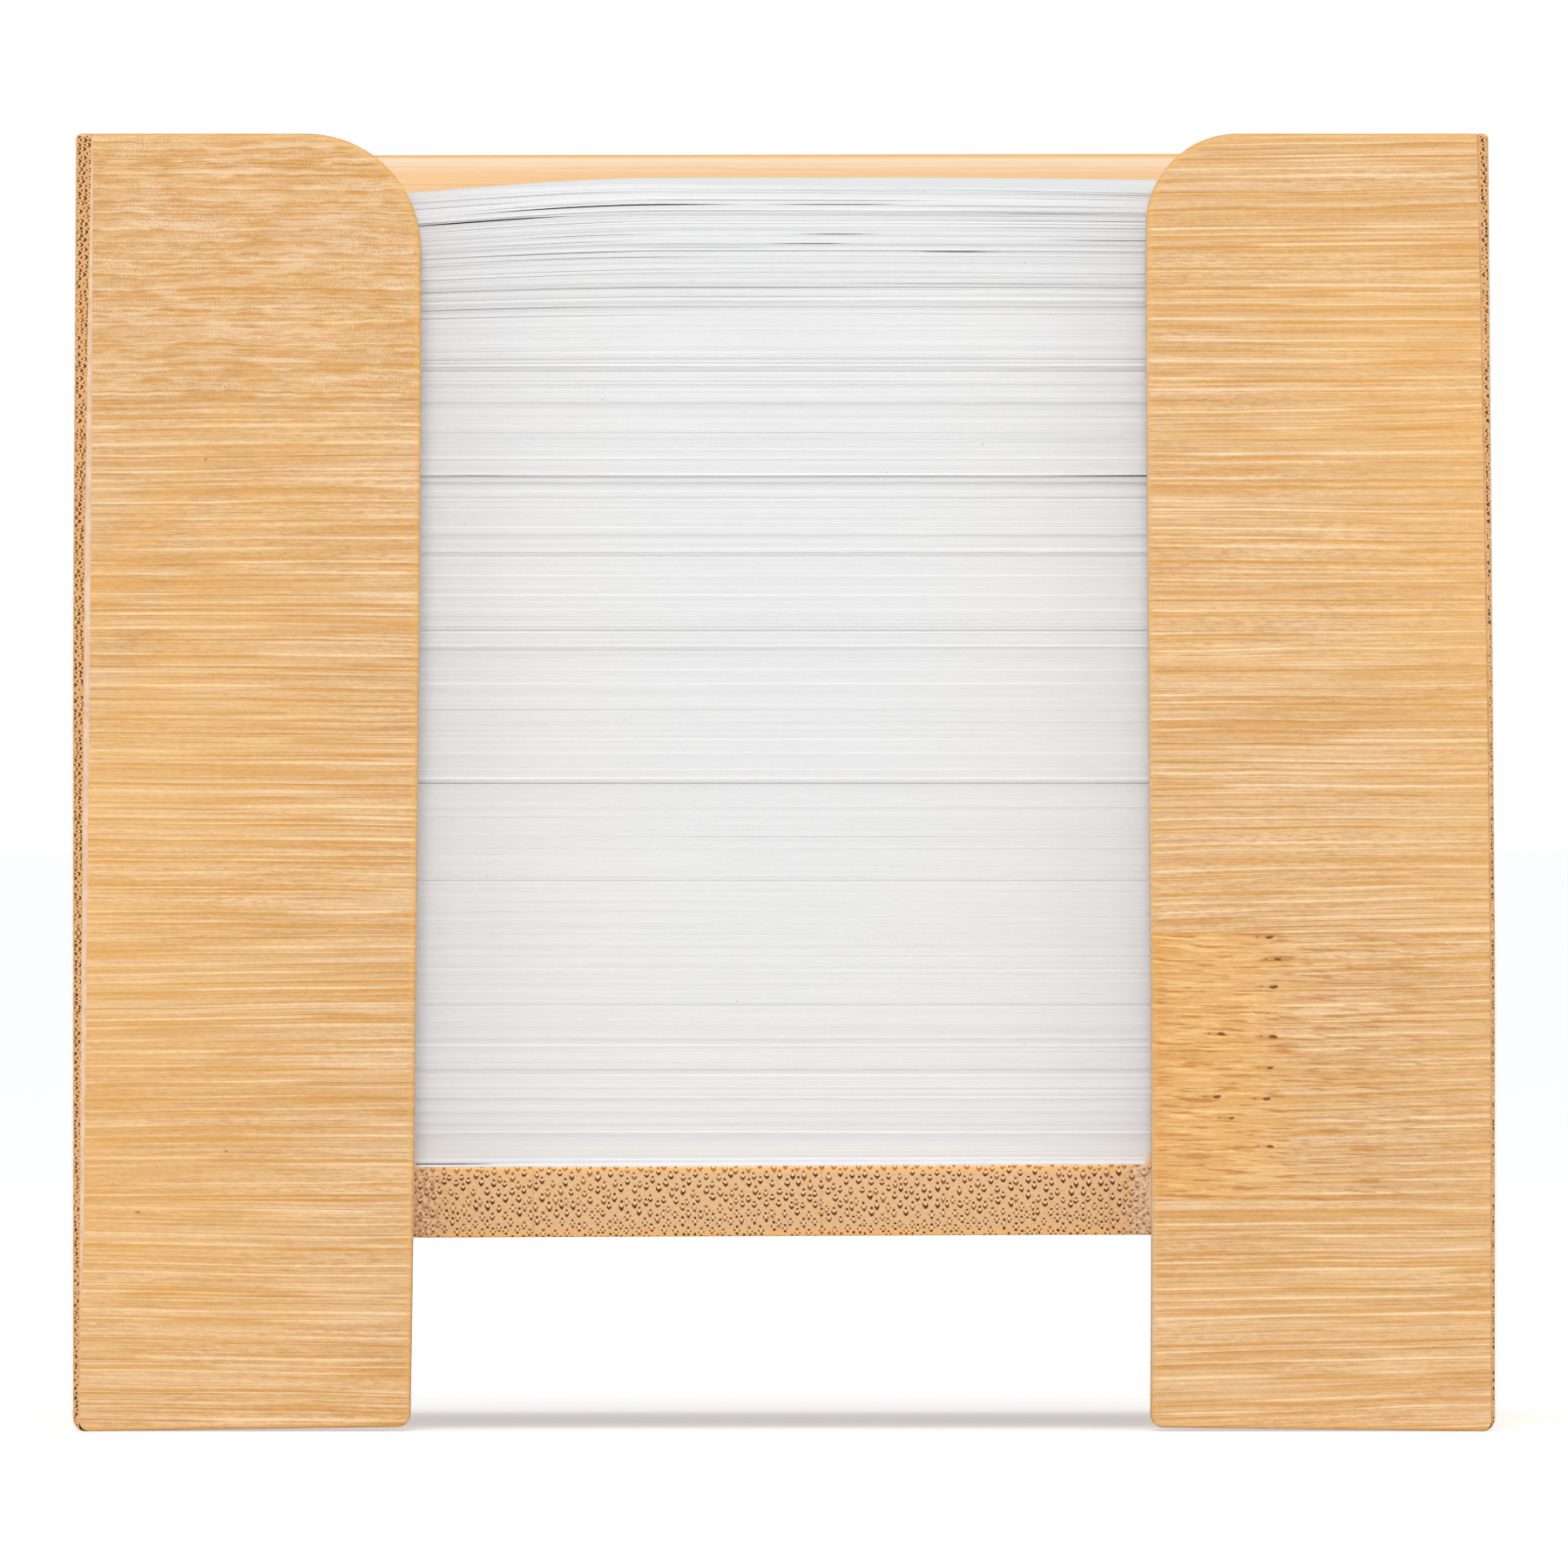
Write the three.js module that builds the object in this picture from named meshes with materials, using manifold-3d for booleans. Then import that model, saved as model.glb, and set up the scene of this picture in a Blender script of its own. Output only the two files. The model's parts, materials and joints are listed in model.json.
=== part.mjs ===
// Memo box: an open bamboo box on short legs, filled with loose square memo sheets.
// Two side panels carry everything. The front is two cheeks with a finger opening between them.
// Millimetres, +Z up, front towards -Y, origin on the table under the middle of the box.
import * as THREE from "three";
import { mergeVertices } from "three/addons/utils/BufferGeometryUtils.js";
import Module from "manifold-3d";

const wasm = await Module();
wasm.setup();

// Paper
const sheetWidth = 90;
const sheetThickness = 0.1;
const sheetClearance = 1.5; // room between the sheets and each wall of the well
const unfilledHeight = 3.2; // from the top sheet up to the rim

// Boards
const sideThickness = 5;
const cheekThickness = 5;
const backThickness = 5;
const baseThickness = 5.1;
const boxHeight = 94;
const legHeight = 14.2; // table to the underside of the base board
const openingWidth = 53; // finger opening between the two cheeks

// Joints between the boards: each side panel ends in a thin lip that covers the edge of its cheek.
// The outside was sanded after gluing, so each lip is thinner at its foot.
const leftLipAtTop = 1.1;
const leftLipAtFoot = 0.6;
const rightLipAtTop = 0.8;
const rightLipAtFoot = 0.3;
const glueLine = 0.2;

// Rounded corners
const leftScoopRadius = 8.3; // top inner corner of the left cheek
const rightScoopRadius = 6.6;
const toeRadius = 0.9; // lower inner corner of a leg
const crownRadius = 0.4; // upper outer corner of the box
const heelRadius = 1; // lower outer corner of the box
const nosingRadius = 0.6; // upper front edge of the base board
const backEaseRadius = 0.5; // both upper edges of the back panel
const arcSteps = 12;

// Curl of the upper sheets: flat in the middle, then falling towards the left and right edges
const leftDrop = 1.5;
const rightDrop = 0.3;
const bowFlatShare = 0.22; // of half a sheet, flat in the middle
const bowEndShare = 0.89; // of half a sheet, where the fall ends
const bowSteps = 6; // on each side

// The pile, from the base board up. top: height of the lift's upper face, as a share of the pile under
// the top sheet. front and side: how far the lift stands forward and to the right, as shares of the
// clearance. bow: how much of the curl its upper face has.
const lowerLiftShares = [
  { top: 0.031, front: 0.05, side: 0.1, bow: 0 },
  { top: 0.066, front: -0.03, side: -0.15, bow: 0 },
  { top: 0.1625, front: -0.1, side: 0.05, bow: 0 },
  { top: 0.191, front: -0.05, side: 0.2, bow: 0 },
  { top: 0.274, front: -0.08, side: -0.1, bow: 0 },
  { top: 0.289, front: -0.12, side: -0.2, bow: 0 },
  { top: 0.3445, front: -0.05, side: 0, bow: 0 },
  { top: 0.388, front: -0.14, side: 0.1, bow: 0 },
  { top: 0.416, front: 0.1, side: -0.05, bow: 0 },
  { top: 0.451, front: 0.02, side: 0.2, bow: 0 },
  { top: 0.488, front: -0.04, side: -0.1, bow: 0 },
  { top: 0.524, front: -0.12, side: 0.05, bow: 0 },
  { top: 0.543, front: -0.04, side: -0.2, bow: 0 },
  { top: 0.619, front: 0.1, side: 0.1, bow: 0 },
  { top: 0.69, front: 0.18, side: -0.05, bow: 0 },
  { top: 0.696, front: 0.12, side: 0.15, bow: 0 },
];
const upperLiftShares = [
  { top: 0.727, front: 0.2, side: -0.1, bow: 0 },
  { top: 0.771, front: 0.14, side: 0.1, bow: 0 },
  { top: 0.8066, front: 0.08, side: -0.15, bow: 0 },
  { top: 0.819, front: 0.14, side: 0.05, bow: 0.1 },
  { top: 0.872, front: 0.22, side: 0.2, bow: 0.3 },
  { top: 0.892, front: 0.3, side: -0.05, bow: 0.4 },
  { top: 0.922, front: 0.38, side: 0.1, bow: 0.55 },
];
const looseLiftShares = [
  { top: 0.9276, front: 0.3, side: -0.1, bow: 0.6 },
  { top: 0.9436, front: 0.34, side: 0.2, bow: 0.7 },
  { top: 0.963, front: 0.28, side: 0, bow: 0.85 },
  { top: 0.9726, front: 0.36, side: -0.2, bow: 0.92 },
  { top: 1, front: 0.3, side: 0.1, bow: 1 },
];
const topSheetShares = { front: 0.26, side: -0.05 };

// Worked out from the sizes above
const wellWidth = sheetWidth + 2 * sheetClearance; // the well is square
const boxWidth = wellWidth + 2 * sideThickness;
const boxDepth = cheekThickness + wellWidth + backThickness;
const cheekReach = (boxWidth - openingWidth) / 2; // outside of the box to the cheek's inner edge
const frontFace = -boxDepth / 2;
const backFace = boxDepth / 2;
const wellFront = frontFace + cheekThickness;
const wellBack = backFace - backThickness;
const baseTop = legHeight + baseThickness;
const stackHeight = boxHeight - unfilledHeight - baseTop;
const overrun = sideThickness; // how far a cutter runs past the board that it cuts

const bamboo = new THREE.MeshStandardMaterial({ color: 0xe8ba83, roughness: 0.5, metalness: 0 });
const bambooNode = new THREE.MeshStandardMaterial({ color: 0xe4b276, roughness: 0.5, metalness: 0 });
const endGrain = new THREE.MeshStandardMaterial({ color: 0xd8a975, roughness: 0.65, metalness: 0 });
const paper = new THREE.MeshStandardMaterial({ color: 0xeeeeee, roughness: 0.9, metalness: 0 });

// A closed outline through corners { x, y, r }, each rounded by an arc of radius r
function roundedOutline(corners) {
  const outline = new THREE.Shape();
  corners.forEach(({ x, y, r = 0 }, i) => {
    const corner = new THREE.Vector2(x, y);
    const before = corners[(i + corners.length - 1) % corners.length];
    const after = corners[(i + 1) % corners.length];
    const back = new THREE.Vector2(before.x, before.y).sub(corner).normalize();
    const on = new THREE.Vector2(after.x, after.y).sub(corner).normalize();
    const half = Math.acos(THREE.MathUtils.clamp(back.dot(on), -1, 1)) / 2;
    const start = back.clone().multiplyScalar(r / Math.tan(half)).add(corner);
    const end = on.clone().multiplyScalar(r / Math.tan(half)).add(corner);
    if (i === 0) outline.moveTo(start.x, start.y);
    else outline.lineTo(start.x, start.y);
    if (r === 0) return;
    const middle = back.clone().add(on).normalize().multiplyScalar(r / Math.sin(half)).add(corner);
    const clockwise = back.cross(on) > 0;
    outline.absarc(middle.x, middle.y, r, start.sub(middle).angle(), end.sub(middle).angle(), clockwise);
  });
  return outline;
}

// An outline drawn as seen from the front, as thick as the stretch from yFront to yBack
function seenFromFront(outline, yFront, yBack) {
  return new THREE.ExtrudeGeometry(outline, {
    depth: yBack - yFront,
    bevelEnabled: false,
    curveSegments: arcSteps,
  })
    .rotateX(Math.PI / 2)
    .translate(0, yBack, 0);
}

// An outline drawn as seen from the right, x standing for depth, as wide as the stretch from xLeft to xRight
function seenFromRight(outline, xLeft, xRight) {
  return new THREE.ExtrudeGeometry(outline, {
    depth: xRight - xLeft,
    bevelEnabled: false,
    curveSegments: arcSteps,
  })
    .rotateX(Math.PI / 2)
    .rotateZ(Math.PI / 2)
    .translate(xLeft, 0, 0);
}

function solidFrom(geometry) {
  const bare = geometry.clone();
  bare.deleteAttribute("normal");
  bare.deleteAttribute("uv");
  const merged = mergeVertices(bare);
  return new wasm.Manifold(
    new wasm.Mesh({
      numProp: 3,
      vertProperties: Float32Array.from(merged.attributes.position.array),
      triVerts: Uint32Array.from(merged.index.array),
    }),
  );
}

function geometryFrom(solid) {
  const { vertProperties, triVerts } = solid.getMesh();
  const geometry = new THREE.BufferGeometry();
  geometry.setAttribute("position", new THREE.BufferAttribute(vertProperties, 3));
  geometry.setIndex(new THREE.BufferAttribute(triVerts, 1));
  geometry.computeVertexNormals();
  return geometry;
}

function pieceOf(name, geometry, material) {
  const mesh = new THREE.Mesh(geometry, material);
  mesh.name = name;
  return mesh;
}

// One side of the box. hand is -1 for the left and 1 for the right. Boards of a side are drawn from the
// outside of the box inwards, so inwards(u) is the x at the distance u from the outside.
const leftSide = {
  hand: -1,
  lipAtTop: leftLipAtTop,
  lipAtFoot: leftLipAtFoot,
  scoopRadius: leftScoopRadius,
};
const rightSide = {
  hand: 1,
  lipAtTop: rightLipAtTop,
  lipAtFoot: rightLipAtFoot,
  scoopRadius: rightScoopRadius,
};

function inwards(side, u) {
  return side.hand * (boxWidth / 2 - u);
}

function lipAt(side, z) {
  return side.lipAtFoot + ((side.lipAtTop - side.lipAtFoot) * z) / boxHeight;
}

// The outside of the finished box as seen from the front, which every outer board is sanded to
function sandedOutside() {
  const half = boxWidth / 2;
  return roundedOutline([
    { x: -half, y: 0, r: heelRadius },
    { x: half, y: 0, r: heelRadius },
    { x: half, y: boxHeight, r: crownRadius },
    { x: -half, y: boxHeight, r: crownRadius },
  ]);
}

// A full-height board with a rabbet at the front for the cheek and one at the back for the back panel
function sidePanel(side) {
  const board = roundedOutline([
    { x: inwards(side, 0), y: 0 },
    { x: inwards(side, sideThickness), y: 0 },
    { x: inwards(side, sideThickness), y: boxHeight },
    { x: inwards(side, 0), y: boxHeight },
  ]);
  const past = boxHeight + overrun;
  const rabbet = roundedOutline([
    { x: inwards(side, lipAt(side, -overrun)), y: -overrun },
    { x: inwards(side, sideThickness + overrun), y: -overrun },
    { x: inwards(side, sideThickness + overrun), y: past },
    { x: inwards(side, lipAt(side, past)), y: past },
  ]);
  return geometryFrom(
    solidFrom(seenFromFront(board, frontFace, backFace))
      .intersect(solidFrom(seenFromFront(sandedOutside(), frontFace - overrun, backFace + overrun)))
      .subtract(solidFrom(seenFromFront(rabbet, frontFace - overrun, wellFront)))
      .subtract(solidFrom(seenFromFront(rabbet, wellBack, backFace + overrun))),
  );
}

// An upright board in the front rabbet: the rounded scoop at its top, the leg at its foot
function frontCheek(side) {
  const board = roundedOutline([
    { x: inwards(side, lipAt(side, 0) + glueLine), y: 0 },
    { x: inwards(side, cheekReach), y: 0, r: toeRadius },
    { x: inwards(side, cheekReach), y: boxHeight, r: side.scoopRadius },
    { x: inwards(side, lipAt(side, boxHeight) + glueLine), y: boxHeight },
  ]);
  return geometryFrom(
    solidFrom(seenFromFront(board, frontFace, wellFront)).intersect(
      solidFrom(seenFromFront(sandedOutside(), frontFace - overrun, backFace + overrun)),
    ),
  );
}

// The back board hangs between the rear lips and ends level with the underside of the base board
function backPanel() {
  const board = roundedOutline([
    { x: inwards(leftSide, lipAt(leftSide, legHeight) + glueLine), y: legHeight },
    { x: inwards(rightSide, lipAt(rightSide, legHeight) + glueLine), y: legHeight },
    { x: inwards(rightSide, lipAt(rightSide, boxHeight) + glueLine), y: boxHeight },
    { x: inwards(leftSide, lipAt(leftSide, boxHeight) + glueLine), y: boxHeight },
  ]);
  const section = roundedOutline([
    { x: wellBack, y: legHeight },
    { x: backFace, y: legHeight },
    { x: backFace, y: boxHeight, r: backEaseRadius },
    { x: wellBack, y: boxHeight, r: backEaseRadius },
  ]);
  return geometryFrom(
    solidFrom(seenFromFront(board, wellBack - overrun, backFace + overrun)).intersect(
      solidFrom(seenFromRight(section, -boxWidth / 2, boxWidth / 2)),
    ),
  );
}

// The base board fills the well between the four walls, its upper front edge rounded over
function baseBoard() {
  const section = roundedOutline([
    { x: wellFront, y: legHeight },
    { x: wellBack, y: legHeight },
    { x: wellBack, y: baseTop },
    { x: wellFront, y: baseTop, r: nosingRadius },
  ]);
  return seenFromRight(section, inwards(leftSide, sideThickness), inwards(rightSide, sideThickness));
}

// How far a fully bowed sheet has fallen at the distance x from its middle
function fallAt(x) {
  const half = sheetWidth / 2;
  const t = THREE.MathUtils.smoothstep(Math.abs(x), half * bowFlatShare, half * bowEndShare);
  return x < 0 ? leftDrop * t : rightDrop * t;
}

// The points of a face { height, bow } of the pile, from left to right. The curl belongs to the pile, so its
// places stay where a lift is shifted, and only the two ends move with the lift.
function faceAcross(face, shift) {
  const half = sheetWidth / 2;
  const places = [];
  if (face.bow > 0) {
    for (let i = 0; i <= bowSteps; i++) {
      places.push(half * THREE.MathUtils.lerp(bowEndShare, bowFlatShare, i / bowSteps));
    }
  }
  const leftward = places.map((x) => -x);
  const across = [shift - half, ...leftward, ...places.reverse(), shift + half];
  return across.map((x) => ({ x, y: face.height - face.bow * fallAt(x) }));
}

// A lift of sheets between a lower and an upper face, as deep as a sheet
function liftOfSheets(lower, upper, shift) {
  const outline = roundedOutline([...faceAcross(lower, shift), ...faceAcross(upper, shift).reverse()]);
  return seenFromFront(outline, -sheetWidth / 2, sheetWidth / 2);
}

// A group of lifts named prefix_1, prefix_2 ... that lie on the face { height, bow } given as lower
function liftsOn(lower, liftShares, prefix, digits) {
  const group = new THREE.Group();
  const pileHeight = stackHeight - sheetThickness;
  let below = lower;
  liftShares.forEach((share, i) => {
    const upper = { height: share.top * pileHeight, bow: share.bow };
    const number = String(i + 1).padStart(digits, "0");
    const shape = liftOfSheets(below, upper, share.side * sheetClearance);
    const lift = pieceOf(`${prefix}_${number}`, shape, paper);
    lift.position.y = -share.front * sheetClearance;
    group.add(lift);
    below = upper;
  });
  return { group, upper: below };
}

const box = new THREE.Group();
box.add(pieceOf("left_side_panel", sidePanel(leftSide), bamboo));
box.add(pieceOf("right_side_panel", sidePanel(rightSide), bamboo));
box.add(pieceOf("left_front_cheek", frontCheek(leftSide), bamboo));
box.add(pieceOf("right_front_cheek", frontCheek(rightSide), bambooNode));
box.add(pieceOf("back_panel", backPanel(), bamboo));
box.add(pieceOf("base_board", baseBoard(), endGrain));

const pile = new THREE.Group();
pile.position.set(0, (wellFront + wellBack) / 2, baseTop);
const lower = liftsOn({ height: 0, bow: 0 }, lowerLiftShares, "sheets", 2);
const upper = liftsOn(lower.upper, upperLiftShares, "upper_sheets", 1);
const loose = liftsOn(upper.upper, looseLiftShares, "loose_sheets", 1);
const topFace = { height: stackHeight, bow: loose.upper.bow };
const topShape = liftOfSheets(loose.upper, topFace, topSheetShares.side * sheetClearance);
const topSheet = pieceOf("top_sheet", topShape, paper);
topSheet.position.y = -topSheetShares.front * sheetClearance;
pile.add(lower.group, upper.group, loose.group, topSheet);

const memoBox = new THREE.Group();
memoBox.add(box, pile);
export default memoBox;
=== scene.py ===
# %% [markdown]
# # A bamboo memo box
#
# The real object is a small open box of glued bamboo boards, full of loose square sheets. Almost all
# of its character is on a fine scale: long straight fibres on the faces of the boards, dotted end
# grain on their ends, and hundreds of sheet edges that are never quite flush.
#
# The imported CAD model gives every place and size. It is loaded first and never moved. The boards and
# the sheets below are new meshes that lie where its solids lie, only with the finer shape.

import json
import math
import random

import bmesh
import bpy
import numpy as np
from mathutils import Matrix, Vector


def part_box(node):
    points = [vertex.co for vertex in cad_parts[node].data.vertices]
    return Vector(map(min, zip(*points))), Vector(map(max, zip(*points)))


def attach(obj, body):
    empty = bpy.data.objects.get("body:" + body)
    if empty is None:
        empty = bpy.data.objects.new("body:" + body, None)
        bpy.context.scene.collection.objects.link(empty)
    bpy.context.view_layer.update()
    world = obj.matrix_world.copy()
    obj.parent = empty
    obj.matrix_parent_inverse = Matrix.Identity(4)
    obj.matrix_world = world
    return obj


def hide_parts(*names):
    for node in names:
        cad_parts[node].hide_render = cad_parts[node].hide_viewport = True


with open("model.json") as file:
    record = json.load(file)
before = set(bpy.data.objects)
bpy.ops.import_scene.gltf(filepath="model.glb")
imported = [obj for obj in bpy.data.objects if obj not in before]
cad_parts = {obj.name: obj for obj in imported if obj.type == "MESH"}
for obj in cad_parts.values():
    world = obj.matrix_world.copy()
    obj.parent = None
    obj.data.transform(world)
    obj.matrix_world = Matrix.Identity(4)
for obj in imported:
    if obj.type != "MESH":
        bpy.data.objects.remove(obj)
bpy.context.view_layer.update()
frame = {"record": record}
MM = 0.001  # the frame is in metres, and a maker thinks in millimetres
scene = bpy.context.scene

# %% [markdown]
# ## Camera
#
# The photograph looks straight at the front, and the back board above the paper is hardly smaller
# than the front: a long lens from far away. A camera at the height of the middle of the picture needs
# neither tilt nor shift, so all verticals stay vertical.

# %% Camera
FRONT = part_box("left_front_cheek")[0].y / MM
CAMERA_DISTANCE = 3223.0  # to the front of the box
EYE_HEIGHT = 46.9
FRAME_WIDTH = 113.55  # width of the picture at the front of the box

camera = bpy.data.objects.new("camera", bpy.data.cameras.new("camera"))
camera.data.lens = camera.data.sensor_width * CAMERA_DISTANCE / FRAME_WIDTH
camera.data.clip_end = 30.0
camera.location = Vector((0.0, FRONT - CAMERA_DISTANCE, EYE_HEIGHT)) * MM
camera.rotation_euler = (math.radians(90), 0, 0)
scene.collection.objects.link(camera)
scene.camera = camera
print("focal length in mm:", round(camera.data.lens))

# %% [markdown]
# ## Light, floor and background
#
# A product table is lit evenly: a bright room, a large soft lamp above the camera and a weaker one
# from each side. Together they give about as much light as a colour needs to come out as it is
# written. The background is white only where it is seen, directly or in a gloss, so it adds no light
# of its own to the box. The Light Path node tells such rays from those that only carry light.

# %% Light
scene.view_settings.view_transform = "Standard"

world = bpy.data.worlds.new("bright_room")
world.use_nodes = True
scene.world = world
ROOM_LIGHT = 0.58


def seen_directly(tree):
    """1 for rays from the camera and in gloss and glass, 0 for those that only carry light."""
    rays = tree.nodes.new("ShaderNodeLightPath")
    seen = rays.outputs["Is Camera Ray"]
    for name in ("Is Glossy Ray", "Is Transmission Ray"):
        either = tree.nodes.new("ShaderNodeMath")
        either.operation = "MAXIMUM"
        tree.links.new(seen, either.inputs[0])
        tree.links.new(rays.outputs[name], either.inputs[1])
        seen = either.outputs[0]
    return seen


tree = world.node_tree
room = tree.nodes["Background"]
room.inputs["Strength"].default_value = ROOM_LIGHT
room.inputs["Color"].default_value = (0.97, 0.985, 1.0, 1)
white = tree.nodes.new("ShaderNodeBackground")
white.inputs["Color"].default_value = (1, 1, 1, 1)
choose = tree.nodes.new("ShaderNodeMixShader")
tree.links.new(seen_directly(tree), choose.inputs[0])
tree.links.new(room.outputs[0], choose.inputs[1])
tree.links.new(white.outputs[0], choose.inputs[2])
tree.links.new(choose.outputs[0], tree.nodes["World Output"].inputs["Surface"])


LAMP_TARGET = Vector((0, 0, 0.05))  # the middle of the box


def soft_lamp(name, place, width, height, watts):
    """A flat lamp that looks at the middle of the box."""
    data = bpy.data.lights.new(name, "AREA")
    data.shape = "RECTANGLE"
    data.size = width
    data.size_y = height
    data.energy = watts
    lamp = bpy.data.objects.new(name, data)
    lamp.location = place
    lamp.rotation_euler = (LAMP_TARGET - lamp.location).to_track_quat("-Z", "Y").to_euler()
    scene.collection.objects.link(lamp)


soft_lamp("lamp_above_camera", Vector((-0.05, -1.55, 1.1)), 0.4, 1.2, 14.6)
soft_lamp("lamp_left", Vector((-1.3, -0.9, 0.5)), 0.8, 0.8, 1.6)
soft_lamp("lamp_right", Vector((1.3, -0.9, 0.5)), 0.8, 0.8, 1.6)

# %% [markdown]
# The floor is one large pale sheet. A glow of its own, kept to the same rays, lifts it to white where
# nothing shades it, and the soft shadow of the box stays.

# %% Floor
FLOOR_REACH = 30.0
FLOOR_GLOW = 0.52

floor_mesh = bpy.data.meshes.new("floor")
corners = [(x * FLOOR_REACH, y * FLOOR_REACH, 0) for x, y in ((-1, -1), (1, -1), (1, 1), (-1, 1))]
floor_mesh.from_pydata(corners, [], [(0, 1, 2, 3)])
floor = bpy.data.objects.new("floor", floor_mesh)
scene.collection.objects.link(floor)

pale = bpy.data.materials.new("pale_floor")
pale.use_nodes = True
tree = pale.node_tree
tree.nodes.clear()
matt = tree.nodes.new("ShaderNodeBsdfDiffuse")
matt.inputs["Color"].default_value = (0.8, 0.8, 0.8, 1)
glow = tree.nodes.new("ShaderNodeEmission")
share = tree.nodes.new("ShaderNodeMath")
share.operation = "MULTIPLY"
share.inputs[1].default_value = FLOOR_GLOW
both = tree.nodes.new("ShaderNodeAddShader")
out = tree.nodes.new("ShaderNodeOutputMaterial")
tree.links.new(seen_directly(tree), share.inputs[0])
tree.links.new(share.outputs[0], glow.inputs["Strength"])
tree.links.new(matt.outputs[0], both.inputs[0])
tree.links.new(glow.outputs[0], both.inputs[1])
tree.links.new(both.outputs[0], out.inputs["Surface"])
floor_mesh.materials.append(pale)
print("floor, metres each way:", FLOOR_REACH)

# %% [markdown]
# ## Writing sums with nodes
#
# The finishes below need many small sums. A node tree can be drawn by hand, but one sum then takes
# five or six boxes. This small class lets Python write the boxes: adding two of its numbers adds a
# Math node, and the result is again such a number.


# %% Numbers that travel through nodes
class Number:
    """One socket of a node tree, with sums written as in Python."""

    def __init__(self, tree, socket):
        self.tree = tree
        self.socket = socket

    def math(self, operation, *others):
        node = self.tree.nodes.new("ShaderNodeMath")
        node.operation = operation
        for slot, value in zip(node.inputs, (self, *others)):
            plug(self.tree, slot, value)
        return Number(self.tree, node.outputs[0])

    def __add__(self, other):
        return self.math("ADD", other)

    def __sub__(self, other):
        return self.math("SUBTRACT", other)

    def __mul__(self, other):
        return self.math("MULTIPLY", other)

    def __truediv__(self, other):
        return self.math("DIVIDE", other)

    def __abs__(self):
        return self.math("ABSOLUTE")

    def flipped(self):
        """1 minus this number."""
        return (self * -1) + 1

    def step(self, low, high):
        """0 below low, 1 above high and smooth between them. Swap low and high for the opposite."""
        node = self.tree.nodes.new("ShaderNodeMapRange")
        node.interpolation_type = "SMOOTHSTEP"
        plug(self.tree, node.inputs["Value"], self)
        falling = low > high
        node.inputs["From Min"].default_value = min(low, high)
        node.inputs["From Max"].default_value = max(low, high)
        node.inputs["To Min"].default_value = 1.0 if falling else 0.0
        node.inputs["To Max"].default_value = 0.0 if falling else 1.0
        return Number(self.tree, node.outputs["Result"])


def plug(tree, slot, value):
    """Links a Number or a socket to a slot, or writes a plain value there."""
    if isinstance(value, Number):
        tree.links.new(value.socket, slot)
    elif isinstance(value, bpy.types.NodeSocket):
        tree.links.new(value, slot)
    else:
        slot.default_value = value


def vector(tree, x, y, z):
    node = tree.nodes.new("ShaderNodeCombineXYZ")
    for slot, value in zip(node.inputs, (x, y, z)):
        plug(tree, slot, value)
    return node.outputs[0]


print("numbers ready")

# %% [markdown]
# On top of these numbers stand the few things that every finish is made of: noise, chance and
# scattered cells, a value that the mesh carries, and the place of a point in the box.


# %% Noise, chance and places
def noise(tree, x, y, z, detail=2.0, roughness=0.5):
    """Smooth noise around 0.5 with one hump per unit of x, y and z."""
    node = tree.nodes.new("ShaderNodeTexNoise")
    plug(tree, node.inputs["Vector"], vector(tree, x, y, z))
    node.inputs["Scale"].default_value = 1.0
    node.inputs["Detail"].default_value = detail
    node.inputs["Roughness"].default_value = roughness
    return Number(tree, node.outputs[0])


def chance(tree, number, seed):
    """A random number from 0 to 1 that is the same wherever the given number is."""
    node = tree.nodes.new("ShaderNodeTexWhiteNoise")
    node.noise_dimensions = "2D"
    plug(tree, node.inputs["Vector"], vector(tree, number, seed, 0.0))
    return Number(tree, node.outputs["Value"])


def attribute(tree, name):
    """A value that the mesh carries at each of its points."""
    node = tree.nodes.new("ShaderNodeAttribute")
    node.attribute_name = name
    return node


def parts(tree, socket, kind="XYZ"):
    """The three numbers in a vector or, with the kind Color, in a colour."""
    node = tree.nodes.new("ShaderNodeSeparate" + kind)
    tree.links.new(socket, node.inputs[0])
    return [Number(tree, s) for s in node.outputs]


def place_in_mm(tree):
    """Where a point lies in the box, in millimetres."""
    return [n * 1000 for n in parts(tree, tree.nodes.new("ShaderNodeTexCoord").outputs["Object"])]


def cells(tree, dimensions, slot, place, randomness):
    """A Voronoi texture: scattered cells, each with a middle and a random colour."""
    node = tree.nodes.new("ShaderNodeTexVoronoi")
    node.voronoi_dimensions = dimensions
    node.inputs["Scale"].default_value = 1.0
    node.inputs["Randomness"].default_value = randomness
    plug(tree, node.inputs[slot], place)
    return node.outputs


print("noise and places ready")

# %% [markdown]
# The other half of a finish is colour: blends from one colour to the next, a bump that turns a height
# into shade, and one call that hands colour, roughness and gloss to the shader.


# %% Colours, bump and shader
def colour(red, green, blue):
    """A colour as a paint program names it, 0 to 255, in the linear light that Blender works with."""
    shares = [c / 255 for c in (red, green, blue)]
    return (*[c / 12.92 if c <= 0.04045 else ((c + 0.055) / 1.055) ** 2.4 for c in shares], 1.0)


def blend(tree, amount, first, second):
    """From the first colour to the second."""
    node = tree.nodes.new("ShaderNodeMix")
    node.data_type = "RGBA"
    plug(tree, node.inputs["Factor"], amount)
    plug(tree, node.inputs["A"], first)
    plug(tree, node.inputs["B"], second)
    return node.outputs["Result"]


def shaded(tree, tint, brightness):
    """The colour tint, made darker below a brightness of 1 and lighter above it."""
    node = tree.nodes.new("ShaderNodeVectorMath")
    node.operation = "SCALE"
    plug(tree, node.inputs[0], tint)
    plug(tree, node.inputs["Scale"], brightness)
    return node.outputs[0]


def new_material(name):
    material = bpy.data.materials.new(name)
    material.use_nodes = True
    return material, material.node_tree, material.node_tree.nodes["Principled BSDF"]


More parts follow.
